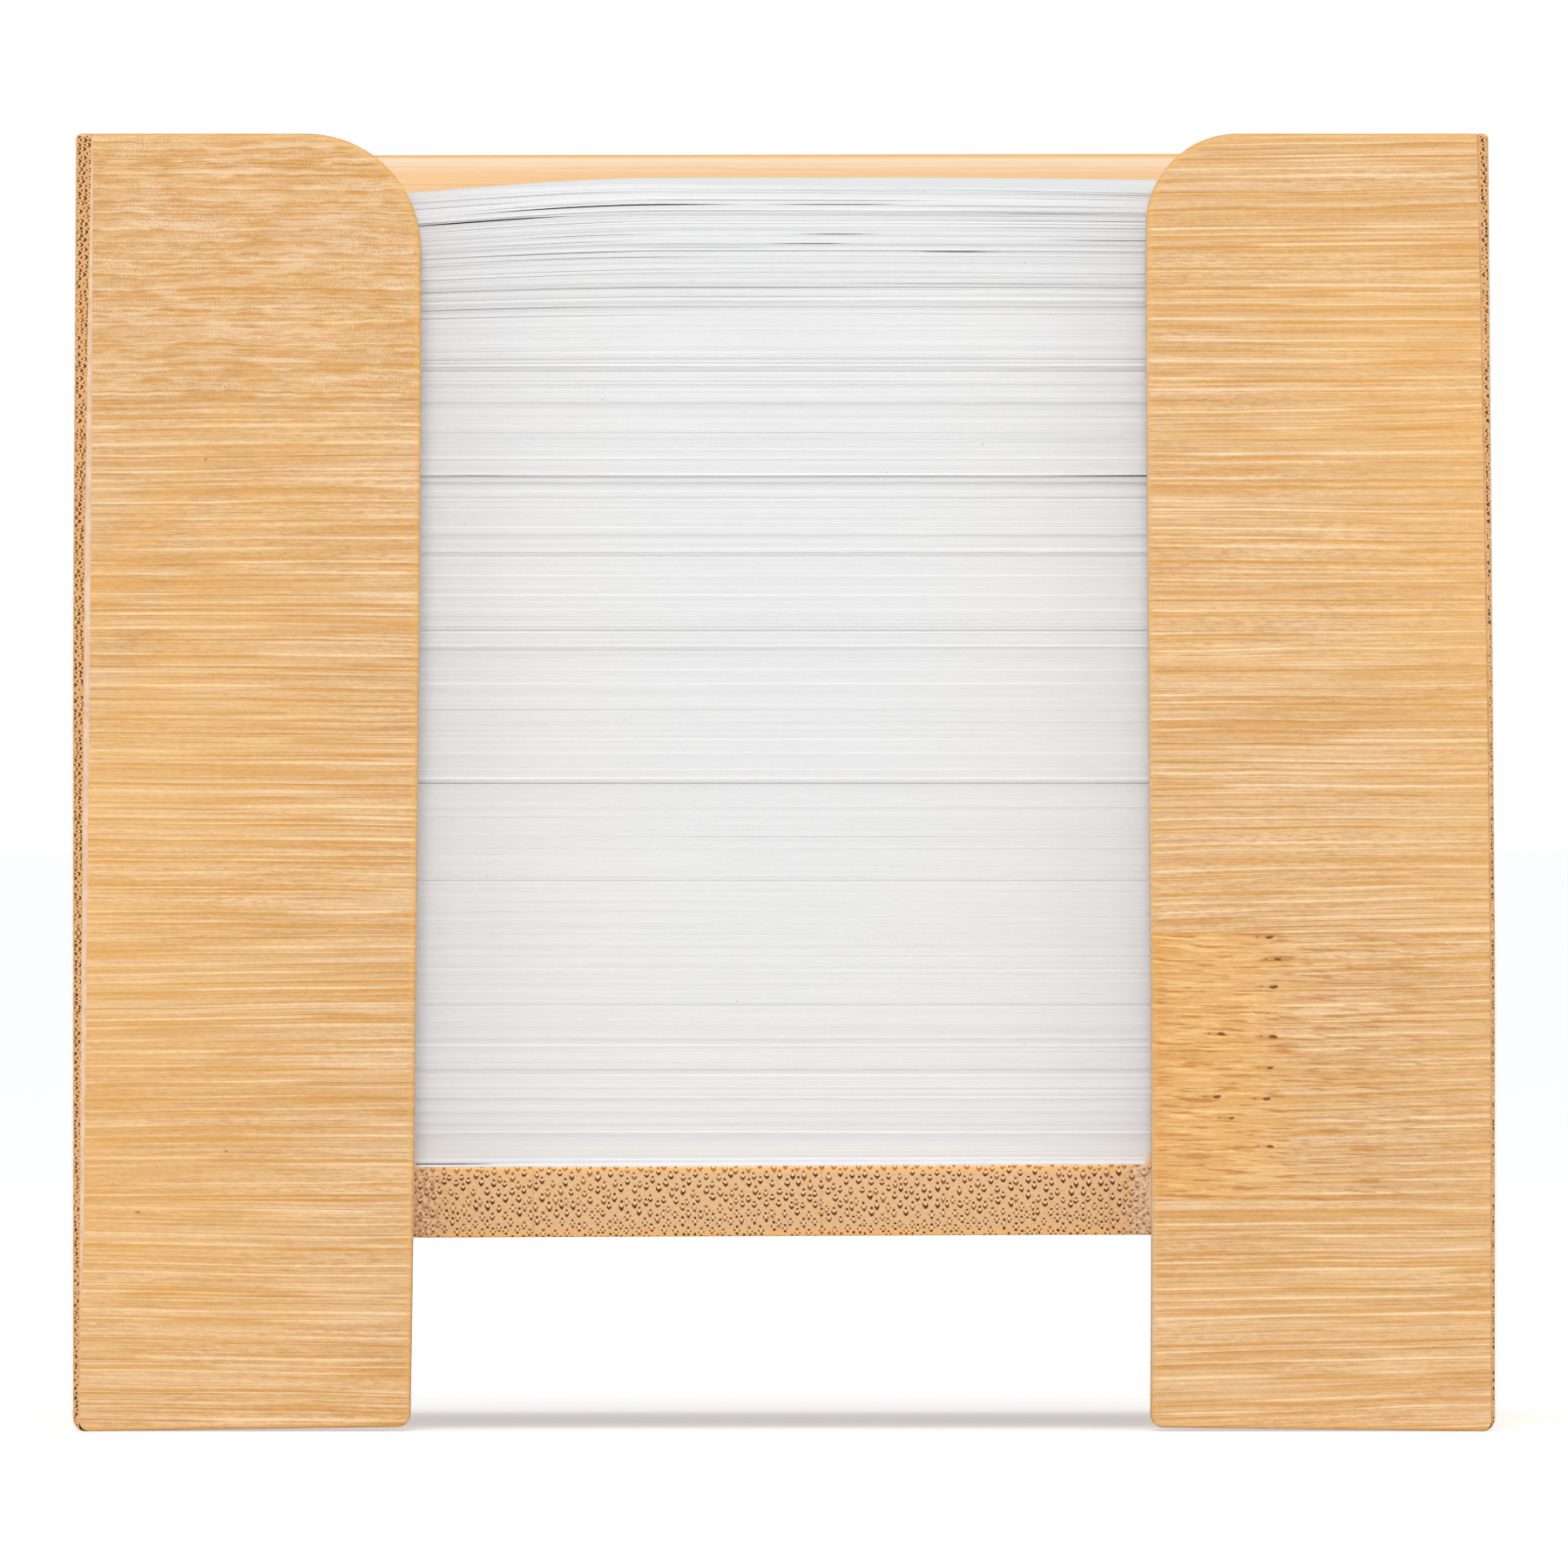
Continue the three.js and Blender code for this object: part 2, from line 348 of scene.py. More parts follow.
def bump(tree, shader, height, depth, strength=1.0):
    """Presses a height from 0 to 1 into the surface, depth millimetres deep."""
    node = tree.nodes.new("ShaderNodeBump")
    node.inputs["Strength"].default_value = strength
    node.inputs["Distance"].default_value = depth * MM
    plug(tree, node.inputs["Height"], height)
    tree.links.new(node.outputs["Normal"], shader.inputs["Normal"])


def coat(tree, shader, face, roughness, gloss=None):
    """Hands a finish to its shader. gloss: how strongly it mirrors head-on, if not as usual."""
    tree.links.new(face, shader.inputs["Base Color"])
    plug(tree, shader.inputs["Roughness"], roughness)
    if gloss is not None:
        shader.inputs["Specular IOR Level"].default_value = gloss


print("colours and shader ready")

# %% [markdown]
# ## Bamboo, seen along its fibres
#
# A bamboo board is glued from strips about 19 mm wide. On its face each strip shows fibres that run
# its whole length: golden and cream streaks a few tenths of a millimetre high, thinner lines between
# them, and patches of short brown-grey dashes.
#
# Noise that is stretched along the fibres makes streaks. Every mesh carries an attribute called
# grain, which holds, in millimetres, the way along the fibres, across the strip and into the board,
# so that one recipe serves boards that lie in any direction. Each strip takes its own random stretch
# of that noise, as each was cut from another stalk.

# %% Colours of the bamboo
STRIP_WIDTH = 19.3
RIM = 94.0  # height of the box, where the strips are counted from

BAMBOO = colour(232, 190, 136)
BAMBOO_TAN = colour(225, 181, 129)
BAMBOO_GOLD = colour(216, 155, 78)
BAMBOO_MILK = colour(241, 207, 169)
BAMBOO_CREAM = colour(249, 217, 171)
BAMBOO_LINE = colour(196, 128, 58)
BAMBOO_BROWN = colour(194, 138, 82)
BAMBOO_DASH = colour(200, 146, 90)
BAMBOO_ARRIS = colour(240, 182, 100)
BAMBOO_POLISHED = colour(253, 211, 158)
# painted sheen: the pale band under the rim of the back board
BAMBOO_PAINTED_SHEEN = colour(250, 221, 188)
# painted highlight: a pale greyish line along the inner edge of the right cheek
PAINTED_EDGE_HIGHLIGHT = colour(216, 196, 174)
PORE = colour(88, 54, 28)
PORE_BROWN = colour(158, 100, 46)
PORE_STAIN = colour(190, 124, 52)
print("strips on a board:", math.ceil(RIM / STRIP_WIDTH))

# %% [markdown]
# The finest streaks are single fibres. Stretched noise would leave them soft, so a Voronoi texture in
# one dimension draws them: it scatters lines across the strip and gives each one its own luck.


# %% Single fibres
def grain_axes(tree):
    """Along the fibres, across the strip and into the board, in millimetres."""
    return parts(tree, attribute(tree, "grain").outputs["Vector"])


def spot(tree, along, across, place, size):
    """1 inside a small oval at a place on the board, 0 outside."""
    x = (along - place[0]) / size[0]
    y = (across - place[1]) / size[1]
    return (x * x + y * y).step(1.3, 0.5)


def fibre_lines(tree, u, v, into, per_mm, thick, runs, seed):
    """Fine straight fibres at uneven distances: how golden and how pale a point is. Each fibre has a
    golden core and a pale side, and fades in and out along its length. runs: how often it does."""
    level = (v + into * 0.4) * per_mm + seed
    lines = cells(tree, "1D", "W", level, 0.95)
    aside = (level - Number(tree, lines["W"])) / per_mm
    one, two, three = parts(tree, lines["Color"], "Color")
    run = noise(tree, u * runs + one * 90, two * 90, seed, detail=1)
    half = three * thick * 0.35 + thick * 0.3
    golden = (abs(aside) / half).step(1.15, 0.3) * run.step(0.4, 0.56)
    pale = (abs(aside - half * 1.2 - 0.02) / (half * 0.8)).step(1.0, 0.4) * run.step(0.6, 0.44)
    return golden, pale


print("fibre lines ready")

# %% [markdown]
# The face of a board is laid on as thin coats of stain would be, each a blend from the face so far to
# the next colour: the broad tone, milky and golden streaks, dashes and single fibres. Last comes what
# growth, tools and use left: a node, pores, the seam between two strips, worn edges and grit, together
# with painted light: a pale highlight along one inner edge, and a sheen and a shaded rim on the back
# board.


# %% Face of a bamboo board
def fibres(
    name, seed, slope=0.0, milk=0.65, bright=0.98, short_strip=None, node_strip=None, specks=(),
    highlit_edge=None, polished=None,
):
    """Bamboo seen along the fibres. milk: how strong its milky streaks are. short_strip: a strip with
    short dashes. node_strip: a strip that was cut through a growth node. specks: dark pores.
    highlit_edge: where its inner edge stands at the foot and how much it leans inwards; a pale highlight
    is painted along that edge. polished: how deep in the board its smooth, pale far side lies, if it
    has one; under the rim that side gets a paler band of painted sheen, and the rounded rim an orange
    tint of painted shade."""
    material, tree, shader = new_material(name)
    along, across, into = grain_axes(tree)
    strip = ((across * -1 + RIM) / STRIP_WIDTH).math("FLOOR")
    luck = chance(tree, strip, seed)
    u = along + luck * 900
    drift = noise(tree, u * 0.012, across * 0.05, into * 0.05, detail=1) - 0.5
    v = across + along * slope + drift * 2.4 + luck * 300
    w = into + luck * 50

    haste = 1.0  # how many times faster than usual the streaks end
    pale_streaks = 0.85
    if short_strip is not None:
        is_short = abs(strip - short_strip).step(0.6, 0.4)
        haste = is_short * 4.2 + 1
        pale_streaks = is_short * -0.3 + pale_streaks
        v = v + (noise(tree, along * 0.09, across * 0.35, 0.0, detail=1) - 0.5) * is_short * 0.6
    u = u * haste

    v = v + (noise(tree, u * 0.1, v * 0.5, 7.0, detail=1) - 0.5) * 0.25
    broad = noise(tree, u * 0.012, v * 0.4, w * 0.6)
    soft = noise(tree, u * 0.035 + 10, v * 1.6, w * 1.6, detail=2, roughness=0.6)
    milky = noise(tree, u * 0.03 + 70, v * 1.2, w * 1.2, detail=2, roughness=0.6)
    hairs = noise(tree, u * 0.14, v * 7.0, w * 7.0, detail=1)
    nicks = noise(tree, u * 1.9 + 30, v * 5.0 + u * 0.5, w * 5.0, detail=2)
    patch = noise(tree, u * 0.04 + 160, v * 0.28, w * 0.3).step(0.36, 0.6)
    dashes = noise(tree, u * 1.1, v * 8.0, w * 8.0, detail=1).step(0.46, 0.64)
    groove, ridge = fibre_lines(tree, u, v, into, 1.2, 0.3, 0.07, seed)
    finer_groove, finer_ridge = fibre_lines(tree, u, v, into, 2.5, 0.12, 0.11, seed + 5)
    brown, light = fibre_lines(tree, u, v, into, 1.9, 0.09, 0.2, seed + 9)
    ridge = ridge.math("MAXIMUM", finer_ridge * 0.65).math("MAXIMUM", light * 0.45)

    face = blend(tree, broad.step(0.36, 0.64), BAMBOO_TAN, BAMBOO)
    face = blend(tree, milky.step(0.48, 0.68) * milk, face, BAMBOO_MILK)
    face = blend(tree, soft.step(0.47, 0.67) * 0.65, face, BAMBOO_GOLD)
    face = blend(tree, patch * dashes * 0.5, face, BAMBOO_DASH)
    face = blend(tree, groove * 0.85, face, BAMBOO_GOLD)
    face = blend(tree, finer_groove * 0.5, face, BAMBOO_GOLD)
    face = blend(tree, brown * 0.65, face, BAMBOO_BROWN)
    face = blend(tree, ridge * pale_streaks, face, BAMBOO_CREAM)
    relief = groove * -0.6 + ridge * 0.3 + hairs * 0.25 + 0.6
    if node_strip is not None:
        face = growth_node(tree, face, along, across, strip, node_strip, seed)
    for place, size, tint, amount in specks:
        face = blend(tree, spot(tree, along, across, place, size) * amount, face, tint)
    seam = ((across * -1 + RIM) / STRIP_WIDTH).math("PINGPONG", 0.5)
    face = blend(tree, seam.step(0.006, 0.002) * 0.35, face, BAMBOO_LINE)
    worn = Number(tree, attribute(tree, "arris").outputs["Fac"])
    face = blend(tree, worn * 0.4, face, BAMBOO_ARRIS)
    # A pale line along the inner edge, where the rounded arris catches the light: a painted highlight.
    if highlit_edge is not None:
        edge_highlight = (along + across * highlit_edge[1] - highlit_edge[0]).step(0.2, 0.04) * across.step(1, 10)
        face = blend(tree, edge_highlight * 0.6, face, PAINTED_EDGE_HIGHLIGHT)
    grit = (hairs - 0.5) * 0.26 + (nicks - 0.5) * 0.3
    if polished is not None:
        calm = into.step(polished - 0.6, polished) * 0.94
        # Under the rim a paler band of painted sheen; on the rounded rim, which faces the lamp above, an
        # orange tint of painted shade.
        sheen_band = across.step(92.5, 92.95) * across.step(93.7, 93.45)
        face = blend(tree, calm, face, blend(tree, sheen_band, BAMBOO_POLISHED, BAMBOO_PAINTED_SHEEN))
        face = blend(tree, calm * across.step(93.5, 93.75) * 0.7, face, BAMBOO_ARRIS)
        grit = grit * calm.flipped()
    face = shaded(tree, face, grit + luck * 0.02 + bright)

    coat(tree, shader, face, soft * 0.2 + 0.38, 0.3)
    bump(tree, shader, relief, 0.03)
    return material


print("fibres recipe ready")

# %% [markdown]
# A growth node is the ring where a leaf sheath grew. The fibres weave past each other there, so the
# strip shows pale spindles between shorter brown dashes, and wedges of dark orange at its cut end. Three
# more stretched noises do that.

# %% Growth node
NODE_START = 26.0  # distance from the middle of the box to where the node's strip begins
NODE_END = 39.5
NODE_SLOPE = 0.03
NODE_GROUND = colour(233, 175, 99)
NODE_DASH = colour(192, 127, 56)
NODE_PALE = colour(247, 205, 139)
NODE_WEDGE = colour(212, 138, 58)


def growth_node(tree, face, along, across, strip, node_strip, seed):
    """The colour face, changed on the strip that was cut through the node."""
    here = abs(strip - node_strip).step(0.6, 0.4)
    sway = noise(tree, along * 0.14, across * 0.4, seed, detail=1) - 0.5
    level = across + along * NODE_SLOPE + sway * 0.4
    reach = here * (along + sway * 6).step(NODE_END, NODE_END - 8)
    pale = noise(tree, along * 0.22, level * 2.8, seed + 5, detail=2, roughness=0.55)
    dashes = noise(tree, along * 0.32, level * 4.2, seed, detail=2, roughness=0.55)
    wedges = noise(tree, along * 0.05, level * 4.6, seed + 9, detail=2)
    face = blend(tree, reach * 0.7, face, NODE_GROUND)
    face = blend(tree, reach * pale.step(0.5, 0.63) * 0.75, face, NODE_PALE)
    face = blend(tree, here * along.step(62, 34) * dashes.step(0.52, 0.64) * 0.74, face, NODE_DASH)
    cut_end = (along - wedges * 14).step(NODE_START - 5, NODE_START - 8)
    return blend(tree, here * cut_end * 0.6, face, NODE_WEDGE)


print("node from", NODE_START, "to", NODE_END, "mm")

# %% [markdown]
# The few open pores of the node are too plain to see for chance, so they are placed one by one: a dark
# comma, a faint dot before it and a stain between them. The left cheek has three dark specks.

# %% Pores
# Place along and across in millimetres, and size
NODE_PORES = [
    ((35.15, 35.8), 1.0), ((35.75, 34.2), 0.9), ((35.45, 32.2), 1.1), ((35.0, 30.3), 0.3),
    ((35.4, 28.6), 1.1), ((31.65, 28.8), 1.0), ((35.2, 26.35), 0.8), ((31.35, 24.25), 1.0),
    ((34.95, 24.1), 1.0), ((32.4, 22.7), 0.7), ((35.2, 20.65), 0.9),
]
pores = []
bends = random.Random(4)
for (x, z), size in NODE_PORES:
    turn = bends.choice((-1, 1, 1)) * 0.06
    pores.append(((x - 0.6, z + 0.02), (0.8 * size, 0.12), PORE_STAIN, 0.45))
    pores.append(((x, z), (0.32 * size, 0.14 * size), PORE_BROWN, 0.9))
    pores.append(((x - 0.04, z + turn * 0.4), (0.19 * size, 0.07 * size), PORE, 0.9))
    pores.append(((x + 0.19 * size, z - turn * size), (0.11 * size, 0.065 * size), PORE, 0.85))
    pores.append(((x - 0.86, z + 0.03), (0.12 * size, 0.08), PORE_BROWN, 0.7))
left_specks = [((-46.8, 15.9), (0.2, 0.1)), ((-40.4, 20.3), (0.12, 0.09)), ((-41.9, 70.4), (0.1, 0.08))]
left_specks = [(place, size, PORE, 0.75) for place, size in left_specks]
print("pores:", len(NODE_PORES))

# %% [markdown]
# ## Bamboo, seen at its sawn ends
#
# Across the fibres bamboo shows its vessels in bundles of four: a dot on top, a pale heart below it
# and a dark cup that holds the heart. The bundles stand in columns not half a millimetre apart that are
# staggered against each other. Deeper under the outer skin of the stalk the cup falls apart into two
# side dots and a lower one.

# %% Colours of the end grain
COLUMN, PITCH = 0.44, 1.14  # distances between columns and between the bundles of one column
OPEN_DEPTH = 5.4  # depth under the skin where all cups have fallen apart
LAMELLA = 20.9  # width of the strips whose ends show

END_GROUND = colour(236, 196, 150)
END_GROUND_DARK = colour(222, 174, 124)
END_TANNED = colour(226, 168, 108)
# painted highlight along the very top of a rounded-over end
END_PAINTED_HIGHLIGHT = colour(255, 224, 186)
VESSEL_DARK = colour(74, 42, 12)
VESSEL_BROWN = colour(156, 98, 38)
VESSEL_PALE = colour(254, 228, 188)
LACQUER = colour(244, 186, 110)
LACQUERED_VESSEL = colour(190, 116, 48)
DUST = (colour(236, 214, 186), colour(206, 160, 112), colour(150, 100, 60))
print("columns of vessels on a strip:", round(LAMELLA / COLUMN))

# %% [markdown]
# A Voronoi texture on a sheared grid places the bundles, and each is drawn from distances to a few
# points: the cup, for one, is a disc with a smaller disc taken out of it. Since the left and the right
# of a bundle are alike, only the distance aside of its middle counts.


# %% Vessel bundles
def distance_to(x, y, at_x, at_y):
    """Distance from the point x, y to a fixed point."""
    x, y = x - at_x, y - at_y
    return (x * x + y * y).math("SQRT")


def vessel_bundles(tree, across, into, seed, packed):
    """How dark a vessel and how pale a heart is at a point, and the luck of the bundle there."""
    column, pitch = COLUMN / packed, PITCH / packed
    sway = noise(tree, across * 0.35, into * 0.35, seed, detail=1) - 0.5
    lift = noise(tree, across * 0.35 + 60, into * 0.35, seed, detail=1) - 0.5
    a = across / column + sway * 1.3 + seed
    b = into / pitch + a * 0.5 + lift * 0.8
    bundles = cells(tree, "2D", "Vector", vector(tree, a, b, 0.0), 0.33)
    middle_a, middle_b, _ = parts(tree, bundles["Position"])
    luck_size, luck_tone, _ = parts(tree, bundles["Color"], "Color")

    opened = (into + (luck_tone - 0.5) * 2.0).step(0.6, OPEN_DEPTH)
    size = (luck_size * 0.22 + opened * 0.06 + 0.88) * packed**-0.4
    aside = a - middle_a
    down = (b - middle_b - aside * 0.5) * pitch / size
    aside = abs(aside) * column / size
    upper_dot = distance_to(aside * 0.9, down, 0.0, -0.235).step(0.115, 0.04)
    side_dot = distance_to(aside, down, 0.165, 0.0).step(0.09, 0.03)
    lower_dot = distance_to(aside * 0.9, down, 0.0, 0.2).step(0.12, 0.04)
    cup = distance_to(aside, down, 0.0, 0.06).step(0.21, 0.14)
    cup = cup * distance_to(aside * 0.95, down, 0.0, -0.03).step(0.09, 0.15) * down.step(-0.12, -0.04)
    dark = upper_dot.math("MAXIMUM", side_dot * opened).math("MAXIMUM", lower_dot)
    dark = dark.math("MAXIMUM", cup * opened.step(0.75, 0.35))
    heart = distance_to(aside, down, 0.0, -0.03).step(0.1, 0.04)
    return dark, heart, luck_tone


print("vessel bundles ready")

# %% [markdown]
# The saw left the ground between the bundles speckled. Where such an end was rounded over, the lacquer
# turns it orange and a painted highlight runs along its very top, and in the corners beside the cheeks
# dust and glue have filled the vessels.


# %% End grain finish
def sawn_ends(name, seed, dusty_ends=None, rounded_top=False, filled=0.0, packed=1.0, tanned=0.0):
    """Bamboo end grain. dusty_ends: distance from the middle where dust and glue cover it, most at the
    right. rounded_top: the skin side is rounded over and shows the lacquer's orange, with a painted
    highlight along its very top. filled: how far lacquer hides the vessels. packed: how much closer
    they stand. tanned: how much darker the wood is."""
    material, tree, shader = new_material(name)
    along, across, into = grain_axes(tree)
    dark, heart, luck_tone = vessel_bundles(tree, across, into, seed, packed)
    speckle = noise(tree, across * 5, into * 5, along * 2 + seed, detail=3, roughness=0.7)
    ground = blend(tree, speckle.step(0.3, 0.7), END_GROUND_DARK, END_GROUND)
    ground = blend(tree, tanned, ground, END_TANNED)
    vessel = blend(tree, luck_tone.step(0.45, 1.0), VESSEL_DARK, VESSEL_BROWN)
    if rounded_top:
        ground = blend(tree, into.step(4.4, 4.9) * 0.7, ground, LACQUER)
        lacquered = (into + speckle * 0.2).step(0.62, 0.4)
        ground = blend(tree, lacquered * 0.85, ground, LACQUER)
        # A painted highlight along the very top of the rounded edge.
        ground = blend(tree, into.step(0.2, 0.05) * 0.8, ground, END_PAINTED_HIGHLIGHT)
        vessel = blend(tree, lacquered, vessel, LACQUERED_VESSEL)
        dark = dark * (lacquered * -0.1 + 1)
    face = blend(tree, heart * 0.6, ground, VESSEL_PALE)
    if dusty_ends is not None:
        crumbs = noise(tree, across * 3.2, into * 3.2, seed + 9, detail=3, roughness=0.75)
        dust = (abs(across) + crumbs * 2.4).step(dusty_ends + 0.6, dusty_ends + 2.4)
        dirt = blend(tree, crumbs.step(0.44, 0.52), DUST[0], DUST[1])
        dirt = blend(tree, crumbs.step(0.53, 0.6), dirt, DUST[2])
        thick = across.step(dusty_ends - 0.8, dusty_ends + 1.6)
        face = blend(tree, dust * (thick * 0.1 + 0.7), face, dirt)
        face = blend(tree, thick * 0.35, face, DUST[0])
        dark = dark * ((dust * crumbs.step(0.42, 0.52)).math("MAXIMUM", thick) * -0.5 + 1)
    seam = ((across * -1 + 2.7) / LAMELLA).math("PINGPONG", 0.5)
    face = blend(tree, seam.step(0.0045, 0.001) * 0.25, face, VESSEL_BROWN)
    dark = dark * (1 - filled)
    face = blend(tree, dark.step(0.0, 0.45) * 0.85, face, VESSEL_BROWN)
    face = blend(tree, dark.step(0.3, 0.95), face, vessel)
    coat(tree, shader, face, 0.62, 0.25)
    bump(tree, shader, dark.flipped() * 0.8 + speckle * 0.2, 0.05, strength=0.6)
    return material


print("end grain recipe ready")

# %% [markdown]
# ## Boards
#
# Every board was sawn square and its edges were broken with sandpaper, so its arrises are rounded by
# about a third of a millimetre and look more orange there. A cube with a Bevel modifier would do for
# a straight board. Here the outlines also have scoops, feet and tapering lips, so each board is a
# loft: the same outline drawn again and again, drawn in a little where an arris rounds over.


# %% Lofting a board
def arc_points(before, corner, after, radius, count):
    """A corner of an outline, rounded. A radius of 0 repeats the corner, so that the count stays."""
    corner = Vector(corner)
    back = (Vector(before) - corner).normalized()
    on = (Vector(after) - corner).normalized()
    if count == 1 or radius <= 0:
        return [corner.copy() for _ in range(count)]
    half = math.acos(max(-1, min(1, back.dot(on)))) / 2
    middle = corner + (back + on).normalized() * (radius / math.sin(half))
    start = corner + back * (radius / math.tan(half)) - middle
    end = corner + on * (radius / math.tan(half)) - middle
    turn = start.angle_signed(end)
    points = []
    for i in range(count):
        a = -turn * i / (count - 1)
        points.append(middle + Vector((start.x * math.cos(a) - start.y * math.sin(a),
                                       start.x * math.sin(a) + start.y * math.cos(a))))
    return points


def outline(corners, drawn_in=0.0):
    """corners: (x, y, radius, points, way), where way is the corner's move when the outline is drawn in."""
    moved = [(x + way[0] * drawn_in, y + way[1] * drawn_in) for x, y, _, _, way in corners]
    result = []
    for i, (_, _, radius, count, _) in enumerate(corners):
        before, after = moved[i - 1], moved[(i + 1) % len(moved)]
        r = max(radius - drawn_in, 0.02) if count > 1 else 0
        result += arc_points(before, moved[i], after, r, count)
    return result


def eased_stations(low, high, ease_low, ease_high, margin=0.3, steps=4):
    """Places along a loft as (place, drawn in, arris tint), rounding over at both ends."""
    stations = [(low, ease_low + margin, 0.0)]
    for i in range(steps + 1):
        t = math.pi / 2 * i / steps
        stations.append((low + ease_low * (1 - math.cos(t)), ease_low * (1 - math.sin(t)), 1.0))
    stations.append((low + ease_low + margin, 0.0, 0.0))
    stations.append((high - ease_high - margin, 0.0, 0.0))
    for i in range(steps, -1, -1):
        t = math.pi / 2 * i / steps
        stations.append((high - ease_high * (1 - math.cos(t)), ease_high * (1 - math.sin(t)), 1.0))
    stations.append((high, ease_high + margin, 0.0))
    return stations


def upright_rings(corners, near, far, ease_near, ease_far):
    """Rings and arris tints of a board that stands upright, from its near side to its far one."""
    stations = eased_stations(near, far, ease_near, ease_far)
    rings = [[(p.x, y, p.y) for p in outline(corners, drawn_in)] for y, drawn_in, _ in stations]
    return rings, [amount for _, _, amount in stations]


print("outline helpers ready")

# %% [markdown]
# Boards and glue are made point by point with bmesh, which lets code add and join points freely. Only
# when such a mesh is ready does it move into mesh data, which an object can show.


# %% From points to an object
def skin(mesh, loops):
    """Joins every loop of points to the next one with faces and closes both ends."""
    for one, two in zip(loops, loops[1:]):
        for i in range(len(one)):
            j = (i + 1) % len(one)
            mesh.faces.new((one[i], one[j], two[j], two[i]))
    mesh.faces.new(loops[0])
    mesh.faces.new(loops[-1])


def into_data(mesh, name, materials):
    """Moves a mesh under construction into mesh data that an object can show."""
    data = bpy.data.meshes.new(name)
    mesh.to_mesh(data)
    mesh.free()
    for material in materials:
        data.materials.append(material)
    return data


def new_object(name, data):
    """Shows mesh data in the scene."""
    piece = bpy.data.objects.new(name, data)
    scene.collection.objects.link(piece)
    return piece


print("mesh helpers ready")

# %% [markdown]
# One function skins all boards. It also writes the two attributes that the finishes read: grain, the
# place in the wood, and arris, which is 1 where an edge was sanded round.

# %% Skinning a board
SAME_POINT = 0.0005  # points that lie closer become one
SHARP = math.radians(38)  # an edge that turns by less looks round


def board(name, rings, tints, grain, materials, sawn=0.93):
    """Skins rings of points in millimetres. grain(point) gives along, across and into. Faces that look
    along the fibres get the second material, end grain. sawn: how squarely they have to."""
    mesh = bmesh.new()
    tint = mesh.verts.layers.float.new("arris")
    loops = []
    for ring, amount in zip(rings, tints):
        loops.append([])
        for point in ring:
            vert = mesh.verts.new(point)
            vert[tint] = amount
            loops[-1].append(vert)
    skin(mesh, loops)
    bmesh.ops.remove_doubles(mesh, verts=mesh.verts, dist=SAME_POINT)
    bmesh.ops.recalc_face_normals(mesh, faces=mesh.faces)
    start = grain(Vector((0, 0, 0)))[0]
    fibre_way = Vector([grain(Vector(step))[0] - start for step in ((1, 0, 0), (0, 1, 0), (0, 0, 1))])
    for face in mesh.faces:
        face.smooth = True
        face.material_index = int(abs(face.normal.dot(fibre_way)) > sawn)
    for edge in mesh.edges:
        edge.smooth = edge.calc_face_angle(0) < SHARP
    data = into_data(mesh, name, materials)
    places = data.attributes.new("grain", "FLOAT_VECTOR", "POINT")
    for vert, value in zip(data.vertices, places.data):
        value.vector = grain(vert.co)
        vert.co = vert.co * MM
    piece = new_object(name, data)
    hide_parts(name)
    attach(piece, "box")
    print(name, "faces:", len(data.polygons))
    return piece


print("board maker ready")

# %% [markdown]
# ## Cheeks
#
# The two front boards stand with their fibres across. Each has a scoop at its upper inner corner for
# the hand, and its lower end is a leg. The real ones were fitted and sanded by hand, so their edges
# lean and bend by a few tenths of a millimetre, each in its own way. A list of heights and distances
# from the middle says how, and everything that touches such an edge asks the same list. The feet were
# sawn a little askew too: the side panels carry the box, and the cheeks just clear the table.

# %% Edges that lean and bend
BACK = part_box("back_panel")[1].y / MM
WELL_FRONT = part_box("base_board")[0].y / MM
WELL_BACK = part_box("base_board")[1].y / MM
WELL_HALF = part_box("base_board")[1].x / MM
BASE_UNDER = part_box("base_board")[0].z / MM
BASE_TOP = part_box("base_board")[1].z / MM


def bent(*points):
    """A bent line through pairs of a place and a value. It gives the value at any place."""
    places, values = zip(*points)
    return lambda place: float(np.interp(place, places, values))


# For each side, as lines up the box: how far out the panel and its two lips reach, how wide the glue
# seam is, and where the cheek's inner edge stands. Then the scoop's radius and the heights of the foot's
# outer and inner corner.
SIDES = {
    "left": {
        "hand": -1,
        "outside": bent((58, 51.5), (94, 51.27)),
        "lip": bent(
            (0, 51.04), (22, 50.91), (40, 50.78), (53, 50.68), (65, 50.59), (78, 50.4), (94, 50.1)
        ),
        "rear_lip": bent((0, 51.2), (94, 50.3)),
        "seam": bent(
            (0, 0.04), (9, 0.06), (15, 0.25), (28, 0.32), (46, 0.37), (65, 0.4), (77, 0.3), (92, 0.08)
        ),
        "opening": bent((0, 27.08), (13, 26.89), (32, 26.68), (46, 26.54), (60, 26.41), (75, 26.31)),
        "scoop": 8.3,
        "foot": (0.0, 0.35),
    },
    "right": {
        "hand": 1,
        "outside": bent((34, 51.5), (94, 51.0)),
        "lip": bent(
            (0, 51.28), (28, 51.25), (40, 51.16), (53, 51.01), (65, 50.82), (78, 50.6), (94, 50.3)
        ),
        "rear_lip": bent((0, 51.3), (94, 50.3)),
        "seam": bent((0, 0.08), (94, 0.12)),
        "opening": bent(
            (0, 26.55), (13, 26.62), (30, 26.6), (42, 26.47), (55, 26.42), (67, 26.3), (80, 26.22)
        ),
        "scoop": 6.6,
        "foot": (0.0, 0.3),
    },
}
BENDS = (9, 15, 22, 28, 34, 40, 46, 53, 60, 65, 71, 78)  # heights where the edges get a point
print("opening above the base in mm:", round(sum(side["opening"](BASE_TOP) for side in SIDES.values()), 1))

